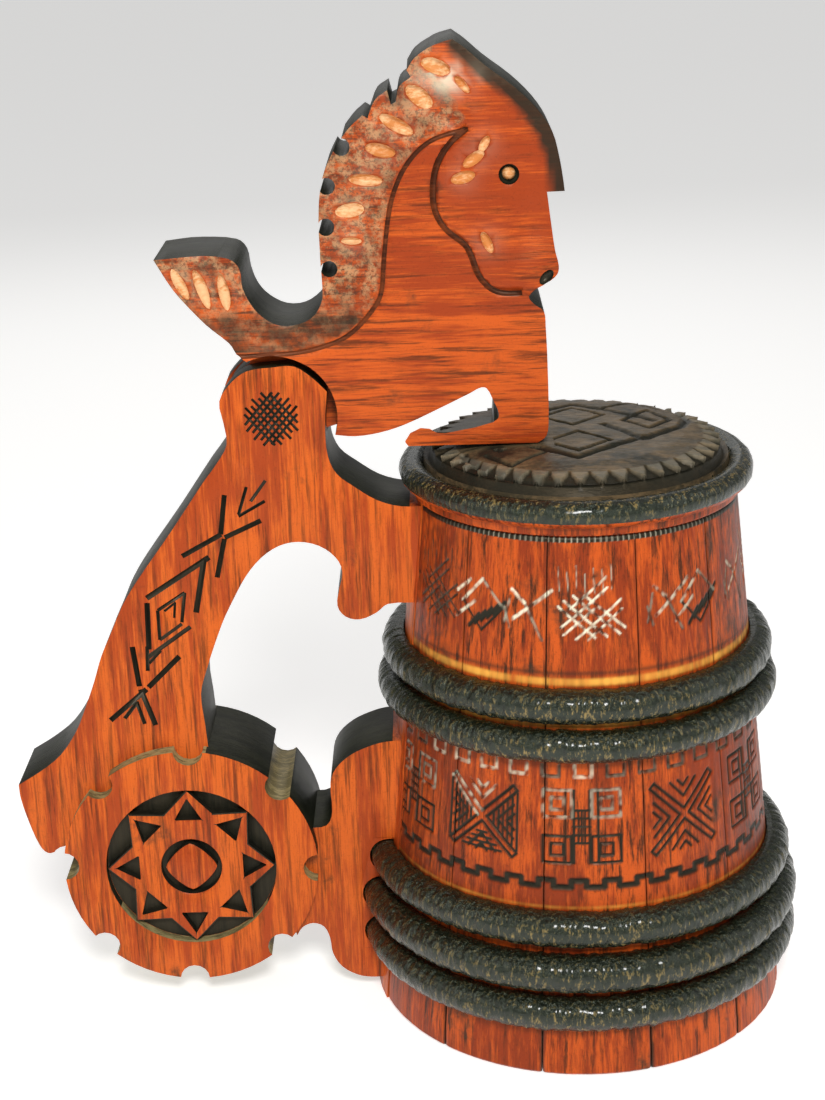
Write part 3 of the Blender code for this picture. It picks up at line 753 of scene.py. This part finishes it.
handle = copy_of("handle_stave", "carved_handle")
for near, far in ((-PLANK_HALF, -PLANK_HALF + 2.0), (PLANK_HALF - 2.0, PLANK_HALF)):
    cut(handle, rod(PIVOT_X, PIVOT_Z, PIN_RADIUS + 0.36, near, far), "UNION")
soften(handle, 0.9, 50)
handle.data.materials.clear()
for finish in (handle_finish, sooty_finish, lit_olive_finish, scorched_finish):
    handle.data.materials.append(finish)
for face in handle.data.polygons:
    x, y, z = face.center.x / MM - AXIS_X, face.center.y / MM, face.center.z / MM
    from_wheel = math.hypot(x - WHEEL_X, z - WHEEL_Z)
    if math.hypot(x, y) < wall_radius(z) + 0.3:
        face.material_index = 0
    elif abs(face.normal.y) < 0.30:
        # the olive on edges that face down, in the notches, low in the wheel and on the rim's step is a
        # painted highlight
        notch = 33 < from_wheel < 38.8
        lit_floor = from_wheel < 27 and z < WHEEL_Z - 12
        lit_rim_step = from_wheel > 38.8 and abs(y) > PLANK_HALF and z > WHEEL_Z + 10 and x < WHEEL_X + 14
        face.material_index = 2 if face.normal.z < -0.25 or notch or lit_floor or lit_rim_step else 1
    elif from_wheel < ROSETTE_RADIUS - 0.3 and WHEEL_HALF - 4 < abs(y) < WHEEL_HALF - 2:
        face.material_index = 3

ARM_SIGNS = [
    # open angles below the fork, then a cross, a lozenge in a lozenge, and a last cross with a forked foot
    (-91.5, 171.3, -96.2, 165.0, 1.3), (-92.0, 165.0, -100.0, 160.5, 1.3), (-97.2, 169.5, -100.0, 161.0, 1.3),
    (-103.8, 167.2, -105.6, 155.0, 2.0), (-104.6, 153.6, -107.5, 141.5, 2.0),
    (-93.5, 159.0, -104.5, 154.0, 2.0), (-105.5, 155.0, -117.5, 148.5, 2.0),
    (-109.5, 148.0, -129.0, 135.5, 2.3), (-111.0, 147.5, -114.5, 130.5, 2.3),
    (-129.0, 134.0, -129.5, 119.0, 2.2), (-116.5, 126.0, -130.0, 116.5, 1.8),
    (-117.5, 137.0, -126.0, 131.5, 1.4), (-117.5, 137.0, -119.0, 127.5, 1.4),
    (-126.0, 131.5, -126.0, 122.0, 1.4), (-119.0, 127.0, -126.0, 122.0, 1.4),
    (-120.4, 134.0, -124.0, 131.2, 1.0), (-120.6, 133.8, -121.2, 129.0, 1.0),
    (-134.5, 120.0, -133.3, 107.0, 2.2), (-133.0, 106.0, -129.3, 94.0, 2.2),
    (-120.5, 116.5, -130.6, 106.6, 2.2), (-131.2, 106.0, -143.0, 96.0, 2.2),
    (-130.0, 120.0, -130.4, 112.0, 1.6), (-126.0, 118.5, -129.8, 114.5, 1.3),
    (-138.6, 96.5, -134.6, 101.5, 1.6), (-134.6, 102.0, -132.6, 94.5, 1.6),
]
STAR_X, STAR_Z = -88.7, 189.9
for step in range(-3, 4):
    reach = (6.4, 7.6, 6.8, 8.2, 7.0, 7.8, 6.0)[step + 3]
    off = step * 1.6
    for lean in (1, -1):
        # two families of slanted cuts over one another, like wicker
        along, across = Vector((0.66 * lean, 0.75)), Vector((0.75, -0.66 * lean))
        start, end = across * off - along * reach, across * off + along * reach
        ARM_SIGNS.append((STAR_X + start.x, STAR_Z + start.y, STAR_X + end.x, STAR_Z + end.y, 1.05))
arm_knife = knife(ARM_SIGNS, PLANK_HALF)
arm_knife.data.materials.append(scorched_finish)
cut(handle, arm_knife)

# The rosette stands in the wheel's hollow: a star of eight points with a dark notch in each, a ring, and a
# lozenge with bowed sides in the middle.
FLOOR_Y, TOP_Y = WHEEL_HALF - ROSETTE_DEPTH - 0.3, WHEEL_HALF - 0.25


def plate(sides, outline, side):
    """A flat plate whose corners stand at outline(angle) from the wheel's axis."""
    bpy.ops.object.select_all(action="DESELECT")
    bpy.ops.mesh.primitive_circle_add(
        vertices=sides, radius=1, fill_type="NGON", location=spot(WHEEL_X, side * FLOOR_Y, WHEEL_Z),
        rotation=(math.pi / 2, 0, 0),
    )
    shape = bpy.context.active_object
    for corner in shape.data.vertices:
        angle = math.atan2(corner.co.y, corner.co.x)
        reach = outline(angle) * MM
        corner.co = (reach * math.cos(angle), reach * math.sin(angle), 0)
    bpy.ops.object.transform_apply(location=True, rotation=True)
    bpy.ops.object.mode_set(mode="EDIT")
    bpy.ops.mesh.select_all(action="SELECT")
    bpy.ops.mesh.extrude_region_move(TRANSFORM_OT_translate={"value": (0, side * (TOP_Y - FLOOR_Y) * MM, 0)})
    bpy.ops.mesh.select_all(action="SELECT")
    bpy.ops.mesh.normals_make_consistent(inside=False)
    bpy.ops.object.mode_set(mode="OBJECT")
    return shape


def star_outline(angle):
    return 26.2 if round(math.degrees(angle) / 22.5) % 2 == 0 else 19.6


def lozenge_outline(angle):
    return 8.0 * (abs(math.cos(angle)) ** 1.3 + abs(math.sin(angle)) ** 1.3) ** (-1 / 1.3)


relief_parts = []
for side in (-1, 1):
    star = plate(16, star_outline, side)
    near, far = sorted((side * (FLOOR_Y - 3), side * (FLOOR_Y + 6)))
    notches = [rod(WHEEL_X, WHEEL_Z, 9.5, near, far, 40)]
    for eighth in range(8):
        turn = math.radians(45 * eighth)
        notch = rod(WHEEL_X + 18.6 * math.cos(turn), WHEEL_Z + 18.6 * math.sin(turn), 5.0, near, far, 3)
        corner = notch.data.vertices[0].co
        first = math.atan2(corner.y, corner.x)
        notch.data.transform(Matrix.Rotation(turn - first, 4, "Z"))
        notches.append(notch)
    for notch in notches:
        notch.data.materials.append(scorched_finish)
    star.data.materials.append(handle_finish)
    cut(star, joined("star_notches", notches))
    lozenge = plate(40, lozenge_outline, side)
    lozenge.data.materials.append(handle_finish)
    for shape in (star, lozenge):
        shape.data.materials.append(scorched_finish)
        last = len(shape.data.materials) - 1
        for face in shape.data.polygons:
            if abs(face.normal.y) < 0.5:
                face.material_index = last
        take_up(shape)
        bpy.ops.object.mode_set(mode="EDIT")
        bpy.ops.mesh.select_all(action="SELECT")
        bpy.ops.mesh.quads_convert_to_tris(ngon_method="BEAUTY")
        bpy.ops.object.mode_set(mode="OBJECT")
        soften(shape, 0.35, 50, segments=1)
        relief_parts.append(shape)


# Behind, the lug is hollowed to fit close over each of the three foot hoops, from the topmost down.
lug_section = [(57, 53.5)]
for _, height, radius, thick in HOOPS[2::-1]:
    hollow = thick + 0.15
    for a in np.radians(np.arange(90, -91, -15)):
        lug_section.append((radius + hollow * math.cos(a), height + hollow * math.sin(a)))
lug_section += [(57, 15.1), (57, 14.7), (69.95, 14.7), (69.95, 37.1), (67.3, 47.3), (65.7, 53.5)]
LUG_ROWS = 12


def lug_points(column, row):
    r, z = np.array(lug_section)[column].T
    angle = np.radians(166 + 28 * row / LUG_ROWS)
    return np.stack([r * np.cos(angle), r * np.sin(angle), z], 1), {}


lug_back = wrapped_grid("lug_back", len(lug_section), LUG_ROWS, lug_points)
bpy.ops.object.select_all(action="DESELECT")
bpy.ops.mesh.primitive_cube_add(size=1, location=spot(-65, 0, 34), scale=(0.06, 2 * PLANK_HALF * MM, 0.06))
cut(lug_back, bpy.context.active_object, "INTERSECT")
lug_back.data.materials.clear()
lug_back.data.materials.append(handle_finish)
handle = joined("carved_handle", [handle, lug_back] + relief_parts)
bpy.ops.object.shade_smooth_by_angle(angle=math.radians(35))
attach(handle, "vessel")
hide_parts("handle_stave")


# --- Hinge pin ---
# A plain birch peg across the fork, on which the lid's tongue turns. Its ends are cut short and plugged
# under the carving.
pin = rod(PIVOT_X, PIVOT_Z, PIN_RADIUS, -PLANK_HALF + 2.3, PLANK_HALF - 2.3)
pin.name = "birch_hinge_pin"
bpy.ops.object.transform_apply(location=True, rotation=True)
soften(pin, 0.8, 60)
bpy.ops.object.shade_smooth_by_angle(angle=math.radians(30))
pin.data.materials.append(pale_finish)
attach(pin, "vessel")
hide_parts("hinge_pin")


# --- Lid ---
# Turned from one block: a domed disc, black with smoke and handling, inside a rolled rim that is pitted
# like the hoops, over a plain red neck. A looped sign is sunk in the top, and the disc's sloping edge is
# chipped into triangular teeth.
LID_UNDER, ROLL_RADIUS, ROLL_Z, ROLL_THICK = 163.7, 48.64, 170.0, 3.9
PLUG_RADIUS, PLUG_Z = 38.35, 159.7
DISC_EDGE, TEETH, TOOTH_TIP = 43.8, 43, 37.4
loop_sign = []
for turn in (0, 180):
    flip = -1 if turn else 1
    for route, wide in (
        (((-24, -7), (-12, -18.5), (-1, -27.8), (13, -16), (20, -10)), 1.5),
        (((9, 3), (19, -12.5), (31.5, 1), (34.6, 11), (33, 20), (27, 31), (17, 38.5), (8, 41.5)), 1.5),
        (((-9.5, -13.5), (-0.5, -22.5), (9.5, -13), (0.5, -3.5), (-9.5, -13.5)), 0.8),
        (((15, 7), (22, -1.5), (29, 8.5), (23, 19.5), (15, 7)), 0.9),
        (((10, 22), (20, 31), (27, 22)), 0.8),
    ):
        for (x0, y0), (x1, y1) in zip(route, route[1:]):
            loop_sign.append((flip * x0, flip * y0, flip * x1, flip * y1, wide, 1.1, 0.0))
loop_sign = np.array(loop_sign)
crown = [
    (r, float(np.interp(r, (0, 20, 32, DISC_EDGE), (181.0, 180.9, 180.1, 177.8))))
    for r in np.arange(0, DISC_EDGE, 0.55)
]
roll_arc = [math.radians(150 - 230 * k / 22) for k in range(23)]
lid_profile = np.array(
    crown
    + [(DISC_EDGE, 177.8), (44.2, 176.6), (44.8, 175.2), (45.1, 174.0), (45.2, 173.0)]
    + [(ROLL_RADIUS + ROLL_THICK * math.cos(a), ROLL_Z + ROLL_THICK * math.sin(a)) for a in roll_arc]
    + [(49.0, 165.6), (49.0, 164.4), (48.6, LID_UNDER), (44, LID_UNDER), (PLUG_RADIUS + 0.4, LID_UNDER)]
    + [(PLUG_RADIUS, PLUG_Z + 0.8), (PLUG_RADIUS - 0.8, PLUG_Z), (30, PLUG_Z), (20, PLUG_Z), (0, PLUG_Z)]
)
LID_STEPS = TEETH * 16


def lid_points(column, row):
    angle = 2 * math.pi * column / LID_STEPS
    r, z = lid_profile[row].T
    x, y = r * np.cos(angle), r * np.sin(angle)
    on_top = row < len(crown)
    deep, dark, _ = nearest_cut(x, y, loop_sign)
    bare_top = on_top & ~((x > -51) & (x < -7) & (np.abs(y) < 17.5))   # not under the horse's foot
    wave = np.abs((angle * TEETH / (2 * math.pi)) % 1 - 0.5) * 2
    slope = np.clip((r - TOOTH_TIP) / (DISC_EDGE - TOOTH_TIP), 0, 1)
    in_chip = np.clip((slope * 1.16 - wave) * 9, 0, 1) * (r > TOOTH_TIP) * (z > 174.5)
    chip = in_chip * (0.4 + 1.5 * slope)
    on_roll = (r > 45.25) & (z > 166.2)
    hand_cut = np.array([
        noise.noise(Vector((a * 0.22, b * 0.22, c * 0.3)))
        + 0.6 * noise.noise(Vector((a * 0.6, b * 0.6, c * 0.6)))
        for a, b, c in zip(x, y, z)
    ])
    z = z - deep * bare_top - chip + hand_cut * 0.16 * bare_top
    r = r - chip * 0.6 * (row >= len(crown) - 2) + hand_cut * 0.22 * on_roll
    points = np.stack([r * np.cos(angle), r * np.sin(angle), z], 1)
    masks = {
        "scorch_and_shade": np.maximum(dark * bare_top, in_chip * 0.9),
        "scratch_and_highlight": (1 - in_chip) * (slope > 0.02) * (wave > 0.2) * 0.10 * on_top,
        "rubbed": on_roll * (0.35 + 0.5 * (z > 171.8)) * np.clip(0.7 - 0.5 * np.sin(angle), 0, 1),
    }
    return points, masks


lid = wrapped_grid("carved_lid", LID_STEPS, len(lid_profile) - 1, lid_points)
disc_finish = wood(
    "blackened_lid", (0.15, 0.10, 0.050, 1), (0.055, 0.044, 0.026, 1), (0.006, 0.008, 0.006, 1),
    along=(0.25, 1, 1), streaks=0.5, bump=0.45, soot=0.35,
)
for finish in (disc_finish, withy_finish, stave_finish):
    lid.data.materials.append(finish)
for face in lid.data.polygons:
    away = math.hypot(face.center.x / MM - AXIS_X, face.center.y / MM)
    height = face.center.z / MM
    off_disc = away > 45.3
    if height < 166.3 or (off_disc and height < 168.3):
        face.material_index = 2
    elif off_disc:
        face.material_index = 1
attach(lid, "lid_and_horse")
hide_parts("lid")


# --- Dowels ---
# Two birch pegs driven up through the lid into the horse's leg, which hold the two together. Their ends
# are trimmed just proud underneath.
for node, y in (("lid_dowel_front", -8.0), ("lid_dowel_back", 8.0)):
    bpy.ops.object.select_all(action="DESELECT")
    bpy.ops.mesh.primitive_cylinder_add(
        vertices=28, radius=3.0 * MM, depth=37.2 * MM, location=spot(-16.2, y, 178.2),
    )
    dowel = bpy.context.active_object
    dowel.name = f"birch_{node}"
    bpy.ops.object.transform_apply(location=True)
    soften(dowel, 0.5, 60)
    bpy.ops.object.shade_smooth_by_angle(angle=math.radians(30))
    dowel.data.materials.append(pale_finish)
    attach(dowel, "lid_and_horse")
    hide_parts(node)


# --- Horse ---
# Sawn from a thick board with the grain across it. Cheek, neck and mane are set out with gouged lines whose
# creases are painted dark as shade, and the mane and tail are chipped down and darker. The chips are pale cut
# wood with a painted cream highlight, and a pale patch on the crest carries a painted highlight. The crest,
# tail top and other sawn edges are sooty, with a painted olive highlight where they face down and painted
# shade in the eye socket.
HORSE_HALF = 16.0
EYE_X, EYE_Z = -19.1, 258.8
NECK_LINE = [
    (-30.1, 271.5), (-35.4, 270.5), (-41.7, 268.3), (-47.1, 263.0), (-50.3, 257.3), (-52.5, 250.7),
    (-53.9, 241.5), (-54.8, 233.4), (-55.3, 226.8), (-57.4, 222.6), (-63.1, 216.1), (-68.3, 212.8),
    (-78.7, 209.9), (-89.6, 209.6), (-97.3, 209.3),
]
CHEEK_LINE = [
    (-30.7, 271.5), (-35.4, 268.1), (-39.2, 261.9), (-40.4, 255.6), (-40.1, 249.2), (-37.1, 243.8),
    (-31.4, 239.7), (-29.8, 236.0), (-28.2, 230.6), (-24.6, 226.5), (-20.1, 225.2), (-15.9, 225.7),
]
FORELOCK = [(-32, 294), (-24, 287), (-16, 281), (-9, 272), (-5.5, 263), (-4.5, 254)]
MANE_REGION = NECK_LINE + [(-130, 209), (-130, 300), (-41, 300), (-37, 285)]
HEAD_REGION = CHEEK_LINE + [(0, 222), (0, 300), (-30, 300)]


def inside(x, z, corners):
    """Whether each point lies in the polygon, by counting the sides to its right."""
    found = np.zeros(len(x), bool)
    for (x0, z0), (x1, z1) in zip(corners, corners[1:] + corners[:1]):
        if z0 == z1:
            continue
        crosses = (z0 > z) != (z1 > z)
        found ^= crosses & (x < (x1 - x0) * (z - z0) / (z1 - z0) + x0)
    return found


def line_distance(x, z, route):
    away = np.full(len(x), 1e3)
    for (x0, z0), (x1, z1) in zip(route, route[1:]):
        dx, dz = x1 - x0, z1 - z0
        t = np.clip(((x - x0) * dx + (z - z0) * dz) / (dx**2 + dz**2), 0, 1)
        away = np.minimum(away, np.hypot(x - x0 - t * dx, z - z0 - t * dz))
    return away


def horse_relief(x, z):
    """How far the carved face stands out from the flat board."""
    mane = inside(x, z, MANE_REGION)
    head = inside(x, z, HEAD_REGION) & ~mane
    from_cheek, from_neck = line_distance(x, z, CHEEK_LINE), line_distance(x, z, NECK_LINE)
    cheek_rise = 1 - np.exp(-(from_cheek / 1.6) ** 2)
    neck_rise = 1 - np.exp(-(from_neck / 1.6) ** 2)
    out = np.where(head, 0.9 * np.exp(-(from_cheek / 14) ** 2), -0.25 * np.exp(-(from_cheek / 5) ** 2))
    out = out * cheek_rise
    out = np.where(mane, -0.9 * neck_rise, out + 0.5 * np.exp(-(from_neck / 6) ** 2) * neck_rise)
    # jowl, muzzle, brow and the hollow in front of the eye
    for swell_x, swell_z, reach, height in (
        (-27, 250, 8, 0.9), (-13.5, 231, 6.5, 1.0), (-21, 266, 6, 0.5), (-13, 246, 6, -0.7),
        (EYE_X, EYE_Z, 5, -0.4),
    ):
        out = out + height * np.exp(-((x - swell_x) ** 2 + (z - swell_z) ** 2) / reach**2) * head
    # the mane falls in locks, each rounded between its neighbours
    locks = 0.45 * np.cos(z * 0.72 + x * 0.35) * mane * np.clip(from_neck / 4, 0, 1)
    return out + locks


def places_of(piece):
    """Where its corners are, in millimetres round the vessel's axis."""
    return np.array([vertex.co[:] for vertex in piece.data.vertices]) / MM - np.array((AXIS_X, 0, 0))


horse = copy_of("horse_lever", "carved_horse")
bpy.ops.object.mode_set(mode="EDIT")
for plane_x in np.arange(-118, -4, 1.9):
    bpy.ops.mesh.select_all(action="SELECT")
    bpy.ops.mesh.bisect(plane_co=spot(plane_x, 0, 0), plane_no=(1, 0, 0))
for plane_z in np.arange(184, 296, 1.9):
    bpy.ops.mesh.select_all(action="SELECT")
    bpy.ops.mesh.bisect(plane_co=spot(0, 0, plane_z), plane_no=(0, 0, 1))
bpy.ops.object.mode_set(mode="OBJECT")
soften(horse, 0.9, 50)
places = places_of(horse)
relief_out = horse_relief(places[:, 0], places[:, 2])
carved = (np.abs(places[:, 1]) > HORSE_HALF - 1.0) & (places[:, 2] > 206)
places[:, 1] += np.sign(places[:, 1]) * relief_out * carved
horse.data.vertices.foreach_set("co", ((places + np.array((AXIS_X, 0, 0))) * MM).ravel())
horse.data.update()


def gouge_line(route, radius):
    """A round gouge drawn along a smooth route, over both faces."""
    tubes = []
    for side in (-1, 1):
        curve = bpy.data.curves.new("gouge", "CURVE")
        curve.dimensions = "3D"
        curve.bevel_depth = radius * MM
        curve.bevel_resolution = 2
        curve.resolution_u = 5
        curve.use_fill_caps = True
        spline = curve.splines.new("NURBS")
        spline.points.add(len(route) - 1)
        for point, (x, z) in zip(spline.points, route):
            point.co = (*spot(x, side * (HORSE_HALF + 0.15), z), 1)
        spline.order_u = 3
        spline.use_endpoint_u = True
        tube = bpy.data.objects.new("gouge", curve)
        bpy.context.scene.collection.objects.link(tube)
        take_up(tube)
        bpy.ops.object.convert(target="MESH")
        bpy.ops.object.mode_set(mode="EDIT")
        bpy.ops.mesh.select_all(action="SELECT")
        bpy.ops.mesh.remove_doubles(threshold=0.00001)
        bpy.ops.mesh.normals_make_consistent(inside=False)
        bpy.ops.object.mode_set(mode="OBJECT")
        tubes.append(tube)
    return joined("gouge_line", tubes)


def chips(marks, finish):
    """Thumbnail chips: long drops sunk in both faces. Each mark is a place, a half length, a half width
    and a lean."""
    drops = []
    for side in (-1, 1):
        for x, z, half_length, half_width, lean_deg in marks:
            out = float(horse_relief(np.array([x]), np.array([z]))[0])
            bpy.ops.mesh.primitive_uv_sphere_add(
                segments=14, ring_count=8, radius=MM, location=spot(x, side * (HORSE_HALF + out), z),
                rotation=(0, -math.radians(lean_deg), 0), scale=(half_length, 1.6, half_width),
            )
            drops.append(bpy.context.active_object)
    tool = joined("chips", drops)
    tool.data.materials.append(finish)
    return tool


horse_finish = wood(
    "varnished_horse", (0.56, 0.088, 0.010, 1), (0.31, 0.037, 0.006, 1), (0.018, 0.006, 0.003, 1),
    along=(0.05, 0.5, 1), streaks=0.75, soot=0.08, gritty=True,
)
# the gouges' creases are painted dark brown as shade
crease_shade_finish = wood(
    "painted_crease_shade", (0.16, 0.035, 0.010, 1), (0.060, 0.014, 0.006, 1), (0.010, 0.005, 0.004, 1),
    along=(0.09, 0.6, 1), streaks=0.5, masks=False,
)
# pale cut wood with a painted cream highlight, for the mane chips and the eyes
chip_highlight_finish = wood(
    "pale_chip_highlight", (0.80, 0.50, 0.26, 1), (0.58, 0.22, 0.06, 1), (0.16, 0.04, 0.012, 1),
    along=(0.4, 0.6, 1), streaks=0.12, masks=False,
)
MANE_CHIPS = [
    (-43.3, 280.5, 4.6, 2.4, 140), (-49.8, 273.1, 5.4, 1.9, 150), (-54.4, 266.2, 4.4, 1.9, 166),
    (-58.9, 258.2, 5.0, 1.6, 175), (-63.4, 250.0, 4.4, 2.0, 188), (-63.4, 241.4, 3.0, 1.0, 176),
    (-25.8, 267.4, 2.6, 1.2, 60), (-28.8, 263.4, 3.6, 1.6, 35), (-31.8, 258.4, 3.6, 1.7, 14),
    (-25.5, 240.2, 3.4, 1.3, -66),
    (-112.3, 230.6, 5.2, 1.5, 116), (-106.2, 229.0, 6.2, 1.6, 108), (-100.0, 228.0, 6.4, 1.6, 98),
    (-38.5, 288.4, 4.4, 2.2, 160), (-31.5, 283.5, 3.0, 1.1, 130),
]
places = places_of(horse)
all_x, all_z = places[:, 0], places[:, 2]
mane_mask = inside(all_x, all_z, MANE_REGION) * (all_z > 208)
mane_mask = mane_mask * np.clip(line_distance(all_x, all_z, NECK_LINE) / 1.2, 0, 1)
mottled = np.array([noise.fractal(Vector(p) * 0.22, 1.0, 2.0, 4) for p in places]) * 0.7
mottled += np.where(all_z < 222, 0.6, 0.12)
forelock_mask = np.clip(1.6 * np.exp(-(line_distance(all_x, all_z, FORELOCK) / 3.0) ** 4), 0, 0.95)
dark_mask = np.maximum(mane_mask * np.clip(mottled, 0, 0.8), forelock_mask)
# a pale patch on the crest, partly pale wood and partly painted highlight, and a faint painted glow round
# each chip
crest = np.exp(-(np.hypot((all_x + 36) / 1.7, all_z - 285.5) / 4.0) ** 2)
highlight_glow = np.clip(crest * (0.35 + mottled), 0, 0.75)
for x, z, *_ in MANE_CHIPS:
    highlight_glow = np.maximum(highlight_glow, 0.08 * np.exp(-(np.hypot(all_x - x, all_z - z) / 4.0) ** 2))
mane_mask = mane_mask * np.where(all_z < 224, 0.6, 1.0)
for mask_name, values in (("scratch_and_highlight", highlight_glow), ("scorch_and_shade", dark_mask), ("mane", mane_mask)):
    mask = horse.data.attributes.new(mask_name, "FLOAT", "POINT")
    mask.data.foreach_set("value", values.astype(np.float32))
for finish in (horse_finish, sooty_finish, lit_olive_finish):
    horse.data.materials.append(finish)
for face in horse.data.polygons:
    x, y, z = face.center.x / MM - AXIS_X, face.center.y / MM, face.center.z / MM
    # sawn edges are sooty, and the deep faces of the eye socket take the same dark colour as painted shade;
    # edges facing down get the olive painted highlight
    shaded_eye_socket = math.hypot(x - EYE_X, z - EYE_Z) < 4.6 and abs(y) < HORSE_HALF - 0.9
    if abs(face.normal.y) < 0.30 or shaded_eye_socket:
        face.material_index = 2 if face.normal.z < -0.3 and face.center.z > 0.2 else 1
for route, radius in ((NECK_LINE, 0.75), (CHEEK_LINE, 0.95)):
    gouge = gouge_line(route, radius)
    gouge.data.materials.append(crease_shade_finish)
    cut(horse, gouge)
cut(horse, chips(MANE_CHIPS, chip_highlight_finish))
cut(horse, chips([(-9.0, 229.9, 2.6, 1.5, 45)], scorched_finish))   # the nostril
eyes = []
for side in (-1, 1):
    bpy.ops.object.select_all(action="DESELECT")
    bpy.ops.mesh.primitive_uv_sphere_add(
        segments=24, ring_count=12, radius=1.9 * MM, location=spot(EYE_X, side * (HORSE_HALF - 2.6), EYE_Z),
        rotation=(math.pi / 2, 0, 0),
    )
    eyes.append(bpy.context.active_object)
    eyes[-1].data.materials.append(chip_highlight_finish)
horse = joined("carved_horse", [horse] + eyes)
bpy.ops.object.shade_smooth_by_angle(angle=math.radians(32))
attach(horse, "lid_and_horse")
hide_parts("horse_lever")
